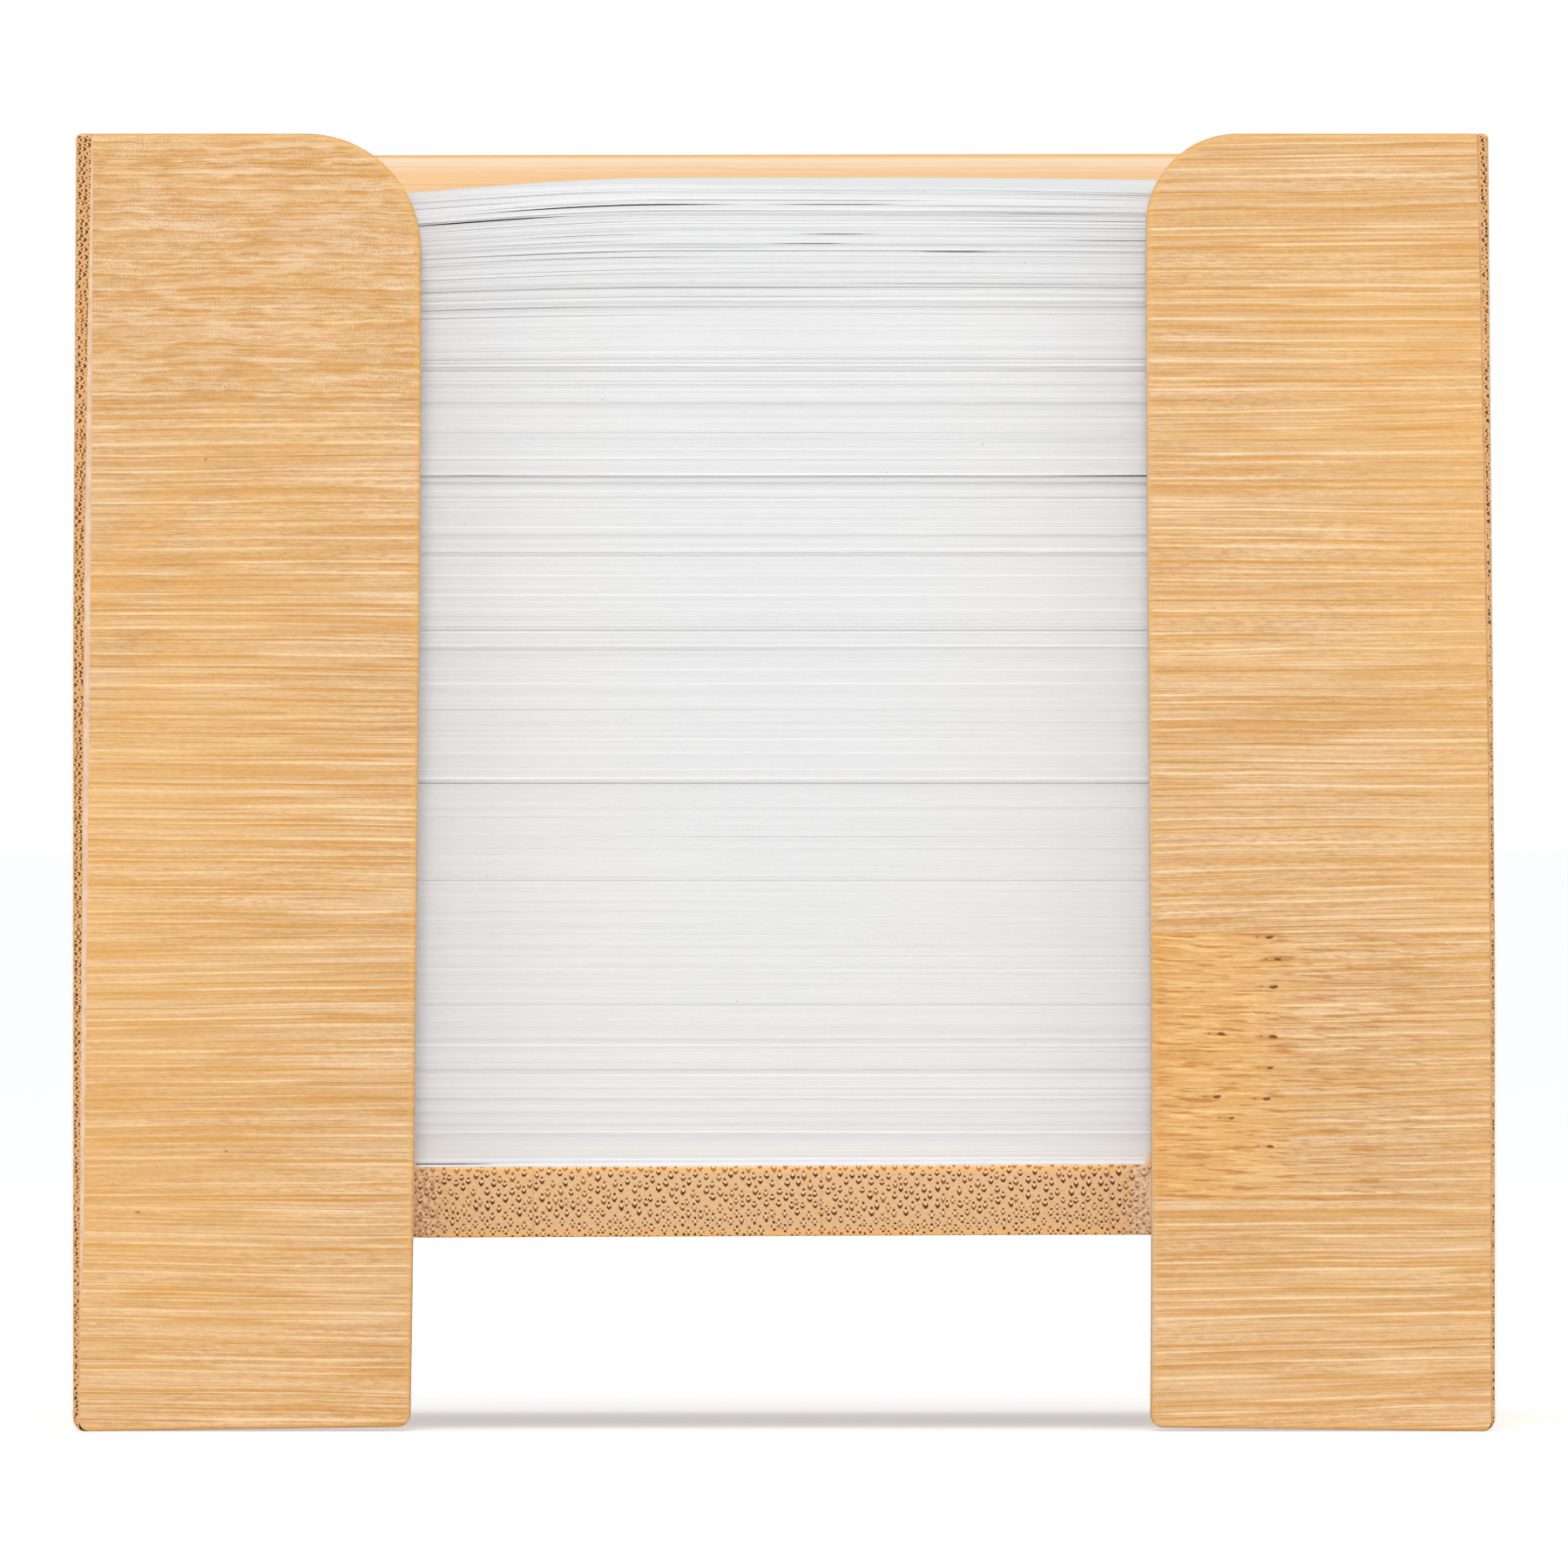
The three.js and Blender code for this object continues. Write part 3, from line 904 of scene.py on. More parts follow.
# %% [markdown]
# With these lines a cheek is soon said: its outline, once around, lofted from the front of the box to
# the well. The left one has a strip of short dashes at its top. The right one has the growth node, and
# a pale highlight is painted along its inner edge.

# %% Cheeks
CHEEK_EASE = 0.3

cheek_faces = {
    "left": fibres("bamboo_left_cheek", 3.0, slope=0.004, milk=0.75, short_strip=0, specks=left_specks),
    "right": fibres(
        "bamboo_right_cheek", 11.0, slope=-0.012, milk=0.5, bright=1.0, node_strip=3, specks=pores,
        highlit_edge=(26.78, 0.0065),
    ),
}
cheek_ends = sawn_ends("bamboo_cheek_ends", 5.0, filled=0.6)

for word, side in SIDES.items():
    h = side["hand"]
    outer = lambda z: side["lip"](z) - side["seam"](z)
    corners = [
        (h * outer(0), side["foot"][0], 0.6, 5, (0, 1)),
        (h * side["opening"](0), side["foot"][1], 0.9, 9, (h, 1)),
        *[(h * side["opening"](z), z, 0.0, 1, (h, 0)) for z in BENDS],
        (h * side["opening"](RIM), RIM, side["scoop"], 33, (h, -1)),
        (h * outer(RIM), RIM, 0.0, 1, (0, -1)),
        *[(h * outer(z), z, 0.0, 1, (0, 0)) for z in reversed(BENDS)],
    ]
    board(
        f"{word}_front_cheek", *upright_rings(corners, FRONT, WELL_FRONT, CHEEK_EASE, 0.2),
        lambda p: (p.x, p.z, p.y - FRONT),
        [cheek_faces[word], cheek_ends],
    )

# %% [markdown]
# ## Side panels
#
# A side panel is as deep as the box and has a rabbet along its front and its back edge. What is left
# of the board beside each rabbet is a lip of about a millimetre, and its sawn end is the dotted strip
# on the front of the box. The loft climbs from the foot to the rim through plan sections, since the
# lip gets thicker on the way up.

# %% Side panels
CROWN = 0.4
HEEL = 1.0
PANEL_EASE = 0.2
HALF_WIDTH = -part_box("left_side_panel")[0].x / MM
side_face = fibres("bamboo_sides", 21.0, slope=0.003)
lip_ends = sawn_ends("bamboo_lip_ends", 8.0, packed=1.45, tanned=0.9)


def plan_section(side, z, drawn_in, outer_in):
    """The panel seen from above: outside, front lip, rabbet, inside, rear rabbet, rear lip."""
    h = side["hand"]
    out = side["outside"](z) - outer_in
    lip, rear_lip = [min(side[word](z), out - 0.05) for word in ("lip", "rear_lip")]
    soft, rear_soft = [min(0.22, 0.6 * (out - edge)) for edge in (lip, rear_lip)]
    corners = [
        (h * out, FRONT, soft, 4, (0, 1)),
        (h * lip, FRONT, 0.36 * soft, 3, (0, 1)),
        (h * lip, WELL_FRONT, 0.0, 1, (0, 0)),
        (h * WELL_HALF, WELL_FRONT, 0.0, 1, (h, 0)),
        (h * WELL_HALF, WELL_BACK, 0.0, 1, (h, 0)),
        (h * rear_lip, WELL_BACK, 0.0, 1, (0, 0)),
        (h * rear_lip, BACK, 0.36 * rear_soft, 3, (0, -1)),
        (h * out, BACK, rear_soft, 4, (0, -1)),
    ]
    return [(p.x, p.y, z) for p in outline(corners, drawn_in)]


def round_over(distance, radius):
    """How far a rounded corner of that radius stands back at a distance from its end."""
    if distance >= radius:
        return 0.0
    return radius - math.sqrt(max(0.0, radius**2 - (radius - distance) ** 2))


for word, side in SIDES.items():
    heights = [HEEL * (1 - math.cos(math.pi / 2 * i / 7)) for i in range(8)]
    heights += [HEEL + 0.3, *BENDS, 86, RIM - CROWN - 0.3]
    heights += [RIM - CROWN * (1 - math.cos(math.pi / 2 * i / 5)) for i in range(5, -1, -1)]
    rings, tints = [], []
    for z in heights:
        near_end = min(z, RIM - z)
        outer_in = max(round_over(z, HEEL), round_over(RIM - z, CROWN))
        rings.append(plan_section(side, z, round_over(near_end, PANEL_EASE), outer_in))
        tints.append(1.0 if near_end < HEEL else 0.0)
    h = side["hand"]
    board(
        f"{word}_side_panel", rings, tints,
        lambda p: (p.y, p.z, HALF_WIDTH - h * p.x),
        [side_face, lip_ends],
    )

# %% [markdown]
# ## Back board and base
#
# The back board hangs between the rear lips, fibres across, and both its upper edges are rounded. Its
# upper edge slants a little, since it was glued in lower on the left. Under the rim its inner face gets
# a paler band of painted sheen, and the rounded rim an orange tint of painted shade.

# %% Back board
BACK_EASE = 0.5
back_face = fibres("bamboo_back", 33.0, slope=0.002, polished=BACK - WELL_BACK)

left, right = SIDES["left"], SIDES["right"]
corners = [
    (-left["rear_lip"](BASE_UNDER) + 0.1, BASE_UNDER, 0.0, 1, (0, 1)),
    (right["rear_lip"](BASE_UNDER) - 0.1, BASE_UNDER, 0.0, 1, (0, 1)),
    (right["rear_lip"](RIM) - 0.1, RIM - 0.03, 0.0, 1, (0, -1)),
    (-left["rear_lip"](RIM) + 0.1, RIM - 0.22, 0.0, 1, (0, -1)),
]
board(
    "back_panel", *upright_rings(corners, WELL_BACK, BACK, BACK_EASE, BACK_EASE),
    lambda p: (p.x, p.z, BACK - p.y),
    [back_face, cheek_ends],
)

# %% [markdown]
# The base lies with its fibres from front to back, so its front edge, which shows between the legs, is
# a strip of end grain with a rounded top. It was glued in a fifth of a millimetre low on the left.

# %% Base board
NOSING = 0.6
BASE_SAG = ((-25, -0.2), (20, 0.0))  # places across the box and how far up or down the board lies there
base_face = fibres("bamboo_base", 47.0)
base_ends = sawn_ends("bamboo_base_ends", 2.0, dusty_ends=24.8, rounded_top=True)

section = [
    (WELL_FRONT, BASE_UNDER, 0.12, 4, (1, 1)),
    (WELL_BACK, BASE_UNDER, 0.0, 1, (0, 1)),
    (WELL_BACK, BASE_TOP, 0.0, 1, (0, -1)),
    (WELL_FRONT, BASE_TOP, NOSING, 8, (1, -1)),
]
sag = bent(*BASE_SAG)
places = (-WELL_HALF, BASE_SAG[0][0], BASE_SAG[1][0], WELL_HALF)
rings = [[(x, p.x, p.y + sag(x)) for p in outline(section)] for x in places]
base = board(
    "base_board", rings, [0.0] * len(rings),
    lambda p: (p.y, p.x, BASE_TOP + sag(p.x) - p.z),
    [base_face, base_ends], sawn=0.3,
)

# %% [markdown]
# ## Glue
#
# The cheeks and the back board were glued between the lips, and where a joint was a little open the
# glue was rubbed in together with sanding dust. On the left that makes a pale line that is widest at
# two thirds of the height and fades at both ends; on the right the joint is tight and shows as a thin
# brown line.
# Each filling is a narrow loft with a slightly wandering face, set a hair behind the wood.


# %% Glue finish
def dusty_glue(name, pale, dark, dots):
    """Dried glue with sanding dust in it. dots: how much of it is dark crumbs."""
    material, tree, shader = new_material(name)
    x, y, z = place_in_mm(tree)
    cloud = noise(tree, x * 1.5, y * 1.5, z * 0.8, detail=3, roughness=0.65)
    crumbs = noise(tree, x * 7, y * 7, z * 5, detail=2, roughness=0.6)
    face = blend(tree, cloud.step(0.35, 0.7), pale, dark)
    face = blend(tree, crumbs.step(0.62, 0.68) * dots, face, VESSEL_BROWN)
    coat(tree, shader, face, 0.7)
    bump(tree, shader, crumbs, 0.04)
    return material


glues = {
    "left": dusty_glue("dusty_glue_pale", colour(238, 208, 182), colour(226, 190, 156), 0.3),
    "bead": dusty_glue("dusty_glue_bead", colour(244, 204, 158), colour(226, 178, 130), 0.5),
    "right": dusty_glue("dusty_glue_brown", colour(222, 174, 120), colour(200, 146, 92), 0.8),
}
print("glues:", len(glues))

# %% [markdown]
# The wandering of a filling's face is drawn by chance, point by point. Each filling has its own seed,
# made from its name, so that it comes out the same whatever is built before it.

# %% Glue lines
GLUE_INSET = 0.03
GLUE_TOP = RIM - 0.12
GLUE_LOOPS = 90
ENDS = (("front", FRONT, WELL_FRONT, 0.6), ("rear", BACK, WELL_BACK, BASE_UNDER))

for word, side in SIDES.items():
    for end, face_y, rear_y, foot in ENDS:
        h = side["hand"]
        way = 1 if end == "front" else -1
        lip = side["lip"] if end == "front" else side["rear_lip"]
        seam = side["seam"] if end == "front" else bent((0, 0.1), (RIM, 0.1))
        mesh = bmesh.new()
        loops = []
        wander = random.Random(f"{word} {end}")
        for i in range(GLUE_LOOPS):
            z = foot + (GLUE_TOP - foot) * i / (GLUE_LOOPS - 1)
            near, far = lip(z) - seam(z) - 0.02, lip(z) + 0.02
            y_near = face_y + way * (GLUE_INSET + wander.random() * 0.03)
            y_far = face_y + way * (GLUE_INSET + wander.random() * 0.03)
            ring = [(h * near, y_near, z), (h * far, y_far, z), (h * far, rear_y, z), (h * near, rear_y, z)]
            loops.append([mesh.verts.new(Vector(p) * MM) for p in ring])
        skin(mesh, loops)
        bmesh.ops.recalc_face_normals(mesh, faces=mesh.faces)
        name = f"{word}_{end}_glue_line"
        line = new_object(name, into_data(mesh, name, [glues[word]]))
        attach(line, "box")
print("glue lines:", 4)

# %% [markdown]
# Where a cheek meets the base some glue was pressed out and dried as a bead above the base and as a
# thin pale line down its front. A ball pulled out of round by waves on its points is enough for
# either; the bead also gets narrower towards its top, where it clings to the cheek.

# %% Glue beads
half_way_down = (BASE_UNDER + BASE_TOP) / 2
for name, place, size, glue in (
    ("right_glue_bead", (26.6, WELL_FRONT + 0.65, BASE_TOP + 0.2), (0.75, 0.5, 0.95), "bead"),
    ("left_glue_bead", (-26.9, WELL_FRONT + 0.6, BASE_TOP), (0.6, 0.45, 0.6), "bead"),
    ("right_glue_line_on_base", (26.72, WELL_FRONT, half_way_down), (0.26, 0.12, 2.5), "left"),
    ("left_glue_line_on_base", (-26.98, WELL_FRONT, half_way_down - 0.15), (0.24, 0.12, 2.5), "left"),
):
    mesh = bmesh.new()
    bmesh.ops.create_icosphere(mesh, subdivisions=4, radius=1.0)
    lumps = random.Random(name)
    phases = [lumps.uniform(0, 6) for _ in range(3)]
    for vert in mesh.verts:
        swell = 1 + 0.12 * sum(math.sin(3.1 * vert.co[i] + phases[i]) for i in range(3))
        if glue == "bead":
            narrow = 0.28 * (1 + vert.co.z)
            vert.co.x = vert.co.x * (1 - narrow) + math.copysign(narrow, place[0])
        vert.co = Vector([(place[i] + vert.co[i] * swell * size[i]) * MM for i in range(3)])
    for face in mesh.faces:
        face.smooth = True
    bead = new_object(name, into_data(mesh, name, [glues[glue]]))
    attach(bead, "box")
print("glue beads:", 2, "and lines on the base:", 2)

# %% [markdown]
# ## Paper
#
# Uncoated memo paper is a slightly grey white. On the cut faces of the pile every sheet edge has its
# own tone, since each was nicked and pressed a little differently by the guillotine, whose blade also
# left faint slanting scratches over many sheets at once. The tone comes from the mesh, sheet by
# sheet, and the scratches from noise that is stretched along a slanting line. Close to the wood of the
# opening the edges are painted a little cooler, against the warm light that the bamboo throws on them:
# painted light.

# %% Paper finish
PAPER = colour(237, 237, 237)
# Painted light: a cooler paper beside the wood that cancels the warm light the bamboo throws on it.
PAPER_AGAINST_WARM_BOUNCE = colour(234, 240, 246)  # where the sheets lie close to the wood
PAPER_LOWEST = colour(238, 246, 255)  # makes up for the warm light that the base throws on the lowest
PAPER_STAIN = colour(196, 190, 184)


def paper_finish():
    material, tree, shader = new_material("memo_paper")
    x, y, z = place_in_mm(tree)
    tone = Number(tree, attribute(tree, "tone").outputs["Fac"])
    pulp = noise(tree, x * 3, y * 3, z * 3, detail=3, roughness=0.65) - 0.5
    slant = noise(tree, (x + z) * 0.11, (x - z) * 3.0, y * 0.05, detail=2, roughness=0.6)
    scratch = slant.step(0.66, 0.72) * noise(tree, x * 0.08, y * 0.08, z * 0.08).step(0.45, 0.6)
    fade = noise(tree, x * 0.1, y * 0.1, z * 6.0, detail=2, roughness=0.7) - 0.5
    stain = noise(tree, x * 2.2, y * 2.2, z * 2.2, detail=0).step(0.885, 0.9)
    lowest = z.step(21.6, 20.2) * z.step(19.7, 19.9)
    front = y.step(-44.0, -44.4)
    # Painted light: the front edges beside the wood are tinted cooler against the warm light from the
    # bamboo.
    beside_wood = abs(x).step(14.0, 27.0) * abs(x).step(34.0, 28.0)
    face = blend(tree, beside_wood * front * 0.5, PAPER, PAPER_AGAINST_WARM_BOUNCE)
    face = blend(tree, z.step(20.0, 19.6) * front, face, PAPER_LOWEST)
    face = blend(tree, stain * 0.5, face, PAPER_STAIN)
    shade = lowest * front * 0.035
    face = shaded(tree, face, tone - shade + pulp * 0.06 + fade * 0.12 + scratch * 0.03)
    coat(tree, shader, face, 0.9, 0.15)
    bump(tree, shader, pulp + 0.5, 0.012, strength=0.5)
    return material


paper = paper_finish()
print("paper ready")

# %% [markdown]
# ## The pile
#
# About 700 loose sheets of 0.1 mm. Each could be a box of its own, but sheets that lie flush move as
# one, so the CAD model has lifts: solids of up to seventy sheets. Each lift becomes one closed mesh here
# whose wall is stepped sheet by sheet. Every sheet stands a hundredth or two of a millimetre forward or
# back, a little askew, and has a tone of its own.
#
# The upper sheets are curled. They fall towards the left, and their front edges droop, so that a
# little of the top sheet's upper face shows above its edge.

# %% Shape of the pile
SHEET = 0.1
HALF_SHEET = 45.0
DEEP = 2 * HALF_SHEET
CURL_START, CURL_END = 0.18 * HALF_SHEET, 0.93 * HALF_SHEET
FALL_LEFT, FALL_RIGHT = 1.95, 0.3
DROOP_REACH = 15.0  # how far behind the front edge the droop begins
CURL = {
    "upper_sheets_4": 0.1, "upper_sheets_5": 0.3, "upper_sheets_6": 0.4, "upper_sheets_7": 0.55,
    "loose_sheets_1": 0.6, "loose_sheets_2": 0.7, "loose_sheets_3": 0.85, "loose_sheets_4": 0.92,
    "loose_sheets_5": 1.0, "top_sheet": 1.0,
}
DROOP = {"loose_sheets_5": 1.0, "top_sheet": 1.0}
HANG = ((-27, 0.25), (-20, 0.45), (-5, 0.72), (26, 1.02))  # how far it hangs, at places across the pile
RISE = {  # how much higher a curled lift stands than it would lie flat
    "loose_sheets_2": 0.12, "loose_sheets_3": 0.26, "loose_sheets_4": 0.2, "loose_sheets_5": 0.3,
    "top_sheet": 0.3, "sheets_16": 0.26,
}
STEPS = 0.4  # the pressed lifts stand forward and back only this share of what the CAD lifts do
LOOSE_FROM, LOOSE_ABOVE = 78, 88  # heights between which the sheets get looser


def smooth(x, low, high):
    """0 below low, 1 above high and smooth between them, or the other way round."""
    t = np.clip((np.asarray(x, float) - low) / (high - low), 0, 1)
    return t * t * (3 - 2 * t)


def face_height(x, depth, level):
    """Height of the face of a lift. level: its height in the middle, curl and droop."""
    top, curl, droop = level
    fall = smooth(np.abs(x), CURL_START, CURL_END) * np.where(x < 0, FALL_LEFT, FALL_RIGHT)
    hang = np.interp(x, *zip(*HANG)) * np.clip(1 - depth / DROOP_REACH, 0, 1) ** 2
    return top - curl * fall - droop * hang


print("curled lifts:", len(CURL), "with drooping front edges:", len(DROOP))

# %% [markdown]
# Where two sheets don't lie close the edge opens into a thin dark slit. A painted line would look flat
# from close by, so each slit is a real gap in the mesh, and painted shade darkens it further inside. The
# plain ones are listed by their places.


# %% Slits
def stretch(x, start, end):
    """0 outside a stretch of the edge, rising and falling smoothly to 1 inside it."""
    length = end - start
    return smooth(x, start, start + 0.45 * length) * smooth(x, end, end - 0.3 * length)


# Slits that show: the lift they lie on, from x to x along the edge, and how far they open
SLITS = [
    ("loose_sheets_4", -25.0, -2.0, 0.1), ("loose_sheets_4", -2.6, 9.0, 0.06),
    ("loose_sheets_3", -30.0, -14.8, 0.11), ("loose_sheets_3", 14.0, 24.0, 0.04),
    ("loose_sheets_2", 0.2, 7.0, 0.06), ("loose_sheets_2", -21.0, -8.0, 0.03),
    ("loose_sheets_1", 8.8, 15.8, 0.07), ("loose_sheets_1", -23.0, -10.0, 0.03),
    ("upper_sheets_7", -27.0, -3.0, 0.03), ("upper_sheets_5", -27.5, -12.0, 0.03),
    ("sheets_16", 16.5, 44.0, 0.11), ("sheets_16", -26.0, -20.0, 0.05), ("sheets_16", -3.0, 18.0, 0.02),
]
# Slits inside a lift: the lift, the sheet above the slit, counted from below, then as in the first list
INNER_SLITS = [
    ("loose_sheets_5", 17, -8.0, 12.0, 0.02), ("loose_sheets_5", 14, -31.0, -9.0, 0.025),
    ("loose_sheets_5", 8, -31.0, -17.0, 0.035), ("loose_sheets_5", 9, 13.0, 27.0, 0.025),
    ("loose_sheets_3", 9, -31.0, -9.0, 0.03), ("loose_sheets_2", 8, -27.0, -10.0, 0.03),
    ("loose_sheets_2", 6, -1.5, 5.0, 0.06), ("loose_sheets_2", 9, 18.0, 29.0, 0.04),
    ("sheets_01", 2, -32.0, -20.0, 0.1),
]
LIFTS = [f"sheets_{i:02d}" for i in range(1, 17)]
LIFTS += [f"upper_sheets_{i}" for i in range(1, 8)]
LIFTS += [f"loose_sheets_{i}" for i in range(1, 6)] + ["top_sheet"]
print("lifts:", len(LIFTS))

# %% [markdown]
# The edge of every sheet gets its own numbers along its length: how far it stands forward and how
# bright it is. Most differ by chance alone, and a few lie back by the thickness of a sheet or less. At
# some heights the pile was squared up anew: the sheet above stands out and shades the ones below.
# Elsewhere a single sheet juts out a little and catches the light as a thin white line.

# %% Lines on the pile
COLUMNS = 61  # points along a sheet's edge
EDGE_TONE = 0.975  # brightness of an edge
NICKED = 0.05  # share of the sheets that lie back, where the unevenness is 1
LAID_BACK = 0.07
SHADE_DEPTH, SHADE_REACH = 0.125, 0.16  # how dark a shaded edge is, and how far down the shade fades
WHITE_LIFT = 0.18
# The flat faces are drawn brighter than the edges: painted light on faces that the lamp in front only
# grazes.
FACE_TONE = 1.1  # the flat of a sheet
WHITE_SHEETS = 3  # the uppermost edges, which the light from above reaches
WHITE_TOP = 0.11
# How uneven the sheets are, by height: the middle of the pile was pressed hard, its top is loose
UNEVENNESS = (
    (24, 1.0), (29, 0.6), (36, 0.35), (48, 0.35), (56, 0.6), (70, 0.7), (80, 0.8), (84, 1.6), (88, 2.1),
)

# Height of each line on the front of the pile, and how strong it is
SHADED_UNDER = [
    (83.25, 1.2), (81.9, 1.2), (77.9, 0.1), (77.1, 1.5), (74.55, 1.4), (69.15, 0.9), (68.75, 1.9),
    (67.75, 1.2), (64.95, 1.0), (63.65, 1.2), (58.38, 0.5), (58.2, 0.4), (56.8, 0.9), (47.12, 0.45),
    (46.95, 0.35), (46.75, 0.3), (28.35, 0.9), (26.15, 1.2), (24.05, 1.1), (21.45, 1.2),
]
WHITE_LINES = [
    (82.65, 0.7), (82.1, 0.9), (79.05, 0.9), (78.25, 0.8), (77.3, 1.0), (76.2, 0.7), (75.5, 0.6),
    (70.65, 0.9), (69.4, 1.4), (68.15, 0.9), (67.5, 0.8), (65.55, 0.9), (63.9, 1.1), (62.05, 0.9),
    (60.6, 0.7), (59.55, 0.9), (58.5, 0.5), (58.0, 0.9), (56.98, 1.0), (55.15, 0.6), (54.2, 0.8),
    (53.05, 0.5), (50.2, 0.8), (49.2, 1.0), (47.95, 0.6), (47.4, 1.0), (47.28, 0.5), (39.75, 0.4),
    (37.1, 0.4), (33.4, 0.5), (32.6, 0.4), (28.0, 0.9), (25.8, 1.0), (24.15, 0.8), (23.3, 0.4),
    (21.65, 1.1), (19.75, 1.0), (19.5, 1.1), (19.4, 0.7),
]

LINES = [line for line, _ in SHADED_UNDER + WHITE_LINES]
print("lines on the pile:", len(LINES))

# %% [markdown]
# The numbers of a sheet are arrays with a value for every point along its edge, so one line of code
# bends or tints the whole edge. Chance comes from the lift's own generator and is always asked in the
# same order, so the pile comes out the same each time.


# %% Sheet edges
def sheet_edges(luck, xs, count, floor):
    """Stand forward in millimetres and tone of every sheet of a lift that begins at a height floor."""
    stands, tones = [], []
    drift = 0.0
    for i in range(count):
        height = floor + (i + 0.5) * SHEET
        uneven = float(np.interp(height, *zip(*UNEVENNESS)))
        drift = drift * 0.8 + luck.gauss(0, 0.008)
        stand = luck.gauss(0, 0.01) + luck.gauss(0, 0.01) * xs / HALF_SHEET
        wave = np.cos(xs / luck.uniform(4, 14) + luck.uniform(0, 6))
        chance_tone = (drift + luck.gauss(0, 0.028) + luck.gauss(0, 0.012) * wave) * uneven
        middle, reach = luck.uniform(-35, 35), luck.uniform(15, 70)
        part = stretch(xs, middle - reach, middle + reach)
        # A sheet that lies back is also drawn a little darker: painted shade in its recess.
        if luck.random() < NICKED * uneven:
            stand, chance_tone = stand - LAID_BACK * uneven * part, chance_tone - 0.03 * part
        beside_line = any(abs(height - line) <= 0.2 for line in LINES)
        tone = EDGE_TONE + chance_tone * (0.3 if beside_line else 1)
        for line, strength in SHADED_UNDER:
            if -0.2 < line - height < 0.8:
                below = line - height + 0.025 * np.sin(xs * 0.9 + line) + 0.015 * np.sin(xs * 2.3)
                fade = strength * smooth(below, -0.12, 0.08) * np.exp(-np.maximum(below, 0) / SHADE_REACH)
                tone = tone - SHADE_DEPTH * fade * (1 + 0.5 * smooth(xs, 8, 27) * (line > 60))
                stand = stand - 0.03 * fade
        for line, strength in WHITE_LINES:
            if abs(height - line) <= SHEET / 2:
                tone = tone + WHITE_LIFT * strength * (0.75 + 0.25 * wave)
                stand = stand + 0.015 * strength
        stands.append(stand)
        tones.append(tone)
    return stands, tones


print("sheet edges ready")

# %% [markdown]
# Pressed sheets touch but for a hair. Higher up, where the pile is loose, more and more of them part
# from each other along some stretch of the edge.


# %% Openings between sheets
def sheet_gaps(luck, xs, count, loose):
    """Half the opening under each sheet of a lift, at each x. loose: 0 for pressed sheets, 1 for curled."""
    gaps = [np.full(len(xs), 0.0006 + 0.001 * loose) for _ in range(count + 1)]
    for i in range(1, count):
        if luck.random() < 0.12 + 0.5 * loose:
            middle, reach = luck.uniform(-30, 30), luck.uniform(6, 30)
            height = 0.0015 * luck.random() + 0.022 * loose * luck.random() ** 2
            gaps[i] = gaps[i] + height * stretch(xs, middle - reach, middle + reach)
    return gaps


print("openings ready")

# %% [markdown]
# A flat lift is closed by one flat face above and below, a curled one by a grid that follows the curl.
# The grid shares its rim with the wall, so its points are numbered from the rim inwards: each ring of
# the wall is then the first part of such a grid.

# %% Grid of a lift
CURLED_ROWS = (0.0, 1.2, 3.0, 6.0, 10.0, DROOP_REACH, 40.0, DEEP)  # distances from the front edge
FLAT_ROWS = (0.0, DEEP)
SLIT_REACH = 4.0  # how far behind the front edge an opening between two sheets closes


def grid_index(columns, rows):
    """Numbers a grid of points so that its rim comes first, once around from the front left."""
    index = np.full((rows, columns), -1)
    walk = [(0, c) for c in range(columns)] + [(r, columns - 1) for r in range(1, rows)]
    walk += [(rows - 1, c) for c in range(columns - 2, -1, -1)] + [(r, 0) for r in range(rows - 2, 0, -1)]
    for number, (r, c) in enumerate(walk):
        index[r, c] = number
    inner = index < 0
    index[inner] = len(walk) + np.arange(inner.sum())
    return index, len(walk)


print("points of a curled face:", grid_index(COLUMNS, len(CURLED_ROWS))[0].size)

# %% [markdown]
# The mesh of a lift is a stack of rings around it, three for each sheet: its lower arris, its upper
# arris and one that is pushed inwards between two sheets, which painted shade darkens as they part. The
# points come from arrays instead of single steps, since there are some hundred thousand of them.


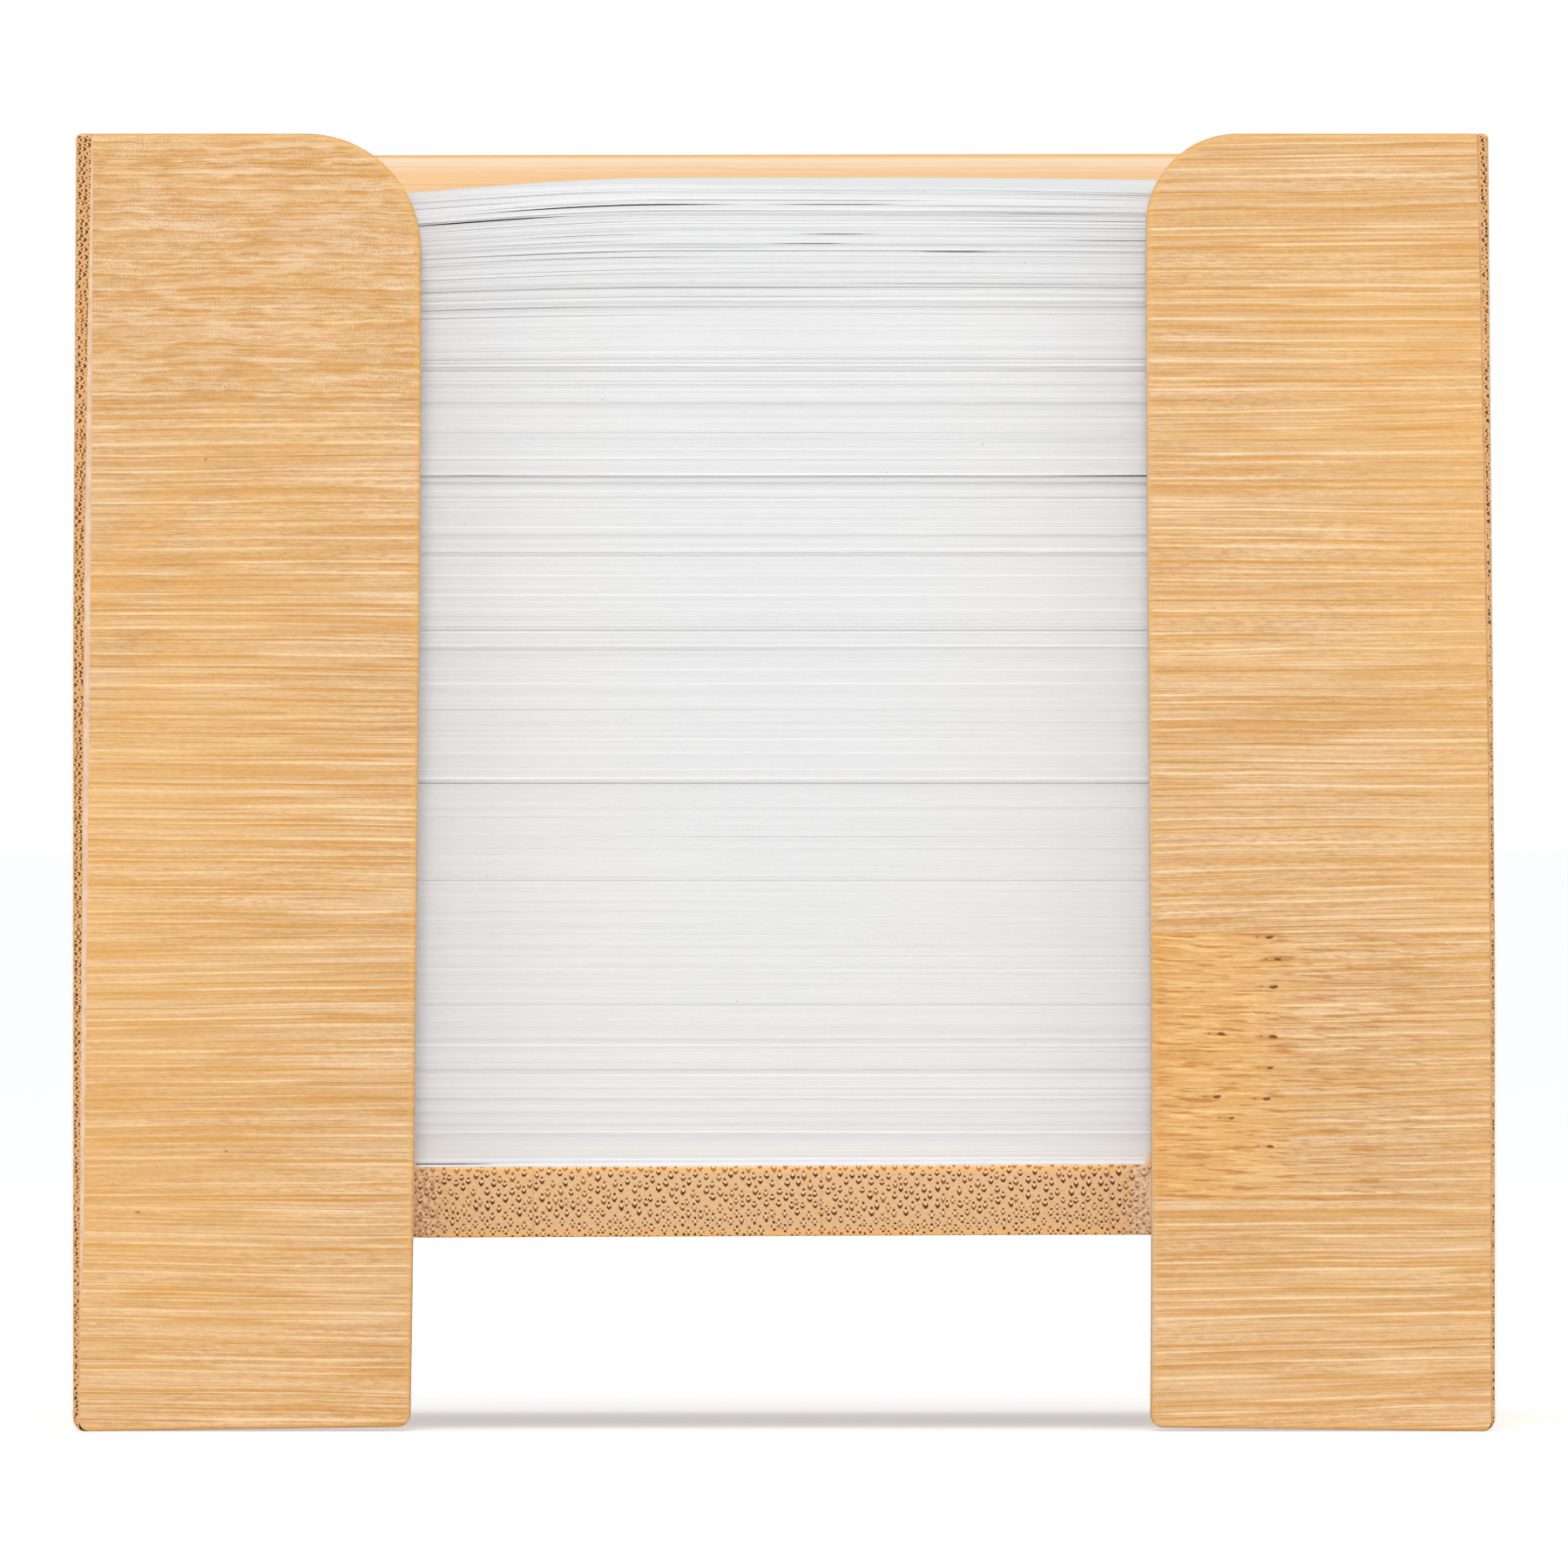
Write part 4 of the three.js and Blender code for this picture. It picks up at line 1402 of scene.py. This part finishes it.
# %% Mesh of a lift
def lift_mesh(name, low_level, high_level, front, stands, tones, gaps, xs):
    """front: where the lift begins. The last four are as sheet_edges and sheet_gaps use and give them."""
    curled = high_level[1] + low_level[1] > 0
    rows = CURLED_ROWS if curled else FLAT_ROWS
    index, rim = grid_index(len(xs), len(rows))
    x, depth = np.empty(index.size), np.empty(index.size)
    x[index] = np.broadcast_to(xs, index.shape)
    depth[index] = np.array(rows)[:, None]
    if not curled:  # only the corners of the back edge are needed
        keep = np.r_[0 : len(xs) + 1, rim - 1]
        x, depth, rim = x[keep], depth[keep], len(keep)
    low, high = face_height(x, depth, low_level), face_height(x, depth, high_level)
    if name == LIFTS[0]:
        low = low + np.interp(x, *zip(*BASE_SAG))  # the lowest sheet lies on the base
    near = np.clip(1 - depth / SLIT_REACH, 0, 1)
    outward = np.where(depth == 0, 1.0, np.where(depth == DEEP, -1.0, 0.0))
    count = len(stands)

    def layer(boundary, way, sheet, pushed_in=0.0):
        gap = np.interp(x, xs, gaps[boundary])
        z = low + (high - low) * boundary / count + way * (gap * near - 0.001 * (near == 0))
        stand = np.interp(x, xs, stands[sheet]) - pushed_in * (0.02 + 9 * gap)
        # The pushed-in ring is drawn darker the wider the two sheets part: painted shade in the slit.
        tone = np.interp(x, xs, tones[sheet]) * (1 - pushed_in * np.minimum(0.5, 20 * gap))
        return np.column_stack([x, front + depth - stand * outward, z]), tone

    layers = [layer(0, 1, 0)]
    for i in range(count):
        if i > 0:
            layers += [layer(i, 0, i, 1.0), layer(i, 1, i)]
        if i < count - 1:
            layers.append(layer(i + 1, -1, i))
    layers.append(layer(count, -1, count - 1))
    points = [layers[0][0]] + [p[:rim] for p, _ in layers[1:-1]] + [layers[-1][0]]
    shades = [layers[0][1]] + [t[:rim] for _, t in layers[1:-1]]
    # The top face takes FACE_TONE: painted light.
    shades.append(np.where(depth > 0, FACE_TONE, layers[-1][1]))
    starts = np.cumsum([0] + [len(p) for p in points])
    one = np.arange(rim)
    two = np.roll(one, -1)
    faces = []
    for a, b in zip(starts, starts[1:-1]):
        faces += np.column_stack([one + a, two + a, two + b, one + b]).tolist()
    if curled:
        cap = np.stack([index[:-1, :-1], index[1:, :-1], index[1:, 1:], index[:-1, 1:]], -1).reshape(-1, 4)
        faces += cap.tolist() + (cap[:, ::-1] + starts[-2]).tolist()
    else:
        faces += [one[::-1].tolist(), (one + starts[-2]).tolist()]
    data = bpy.data.meshes.new(name)
    data.from_pydata((np.concatenate(points) * MM).tolist(), [], faces)
    tone = data.attributes.new("tone", "FLOAT", "POINT")
    tone.data.foreach_set("value", np.concatenate(shades).astype(np.float32))
    data.materials.append(paper)
    return data


print("lift maker ready")

# %% [markdown]
# The lifts are laid on each other from the base up, each from the face of the one below to its own. The
# slits of the lists open on both their sides, the uppermost edges get the light from above, and every
# lift rides on the body that the record puts it in.

# %% Laying the pile
total_faces, total_sheets = 0, 0
bodies = frame["record"]["behaviour"]["bodies"]
below = (BASE_TOP, 0.0, 0.0)
pile_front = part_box(LIFTS[0])[0].y / MM
for number, name in enumerate(LIFTS):
    lowest, highest = [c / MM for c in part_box(name)]
    luck = random.Random(f"pile {number}")
    level = (highest.z + RISE.get(name, 0.0), CURL.get(name, 0.0), DROOP.get(name, 0.0))
    count = max(1, round((level[0] - below[0]) / SHEET))
    xs = np.linspace(lowest.x, highest.x, COLUMNS)
    stands, tones = sheet_edges(luck, xs, count, below[0])
    gaps = sheet_gaps(luck, xs, count, float(smooth(level[0], LOOSE_FROM, LOOSE_ABOVE)))
    for lift, start, end, height in SLITS:
        if lift == name:
            gaps[count] = gaps[count] + height / 2 * stretch(xs, start, end)
        elif number and lift == LIFTS[number - 1]:
            gaps[0] = gaps[0] + height / 2 * stretch(xs, start, end)
    for lift, sheet, start, end, height in INNER_SLITS:
        if lift == name:
            gaps[sheet] = gaps[sheet] + height / 2 * stretch(xs, start, end)
    if name in DROOP:
        for i in range(count):
            from_top = count - 1 - i + (name != "top_sheet")
            white = smooth(from_top, WHITE_SHEETS + 2.5 * smooth(np.abs(xs), 4, 25) + 1, WHITE_SHEETS - 1)
            tones[i] = tones[i] + WHITE_TOP * white
    front = lowest.y
    if name.startswith("sheets"):
        front = pile_front + (front - pile_front) * STEPS
    data = lift_mesh(name, below, level, front, stands, tones, gaps, xs)
    piece = new_object(name, data)
    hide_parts(name)
    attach(piece, next(body for body, nodes in bodies.items() if name in nodes))
    total_faces += len(data.polygons)
    total_sheets += count
    below = level
print("sheets:", total_sheets, "faces:", total_faces)
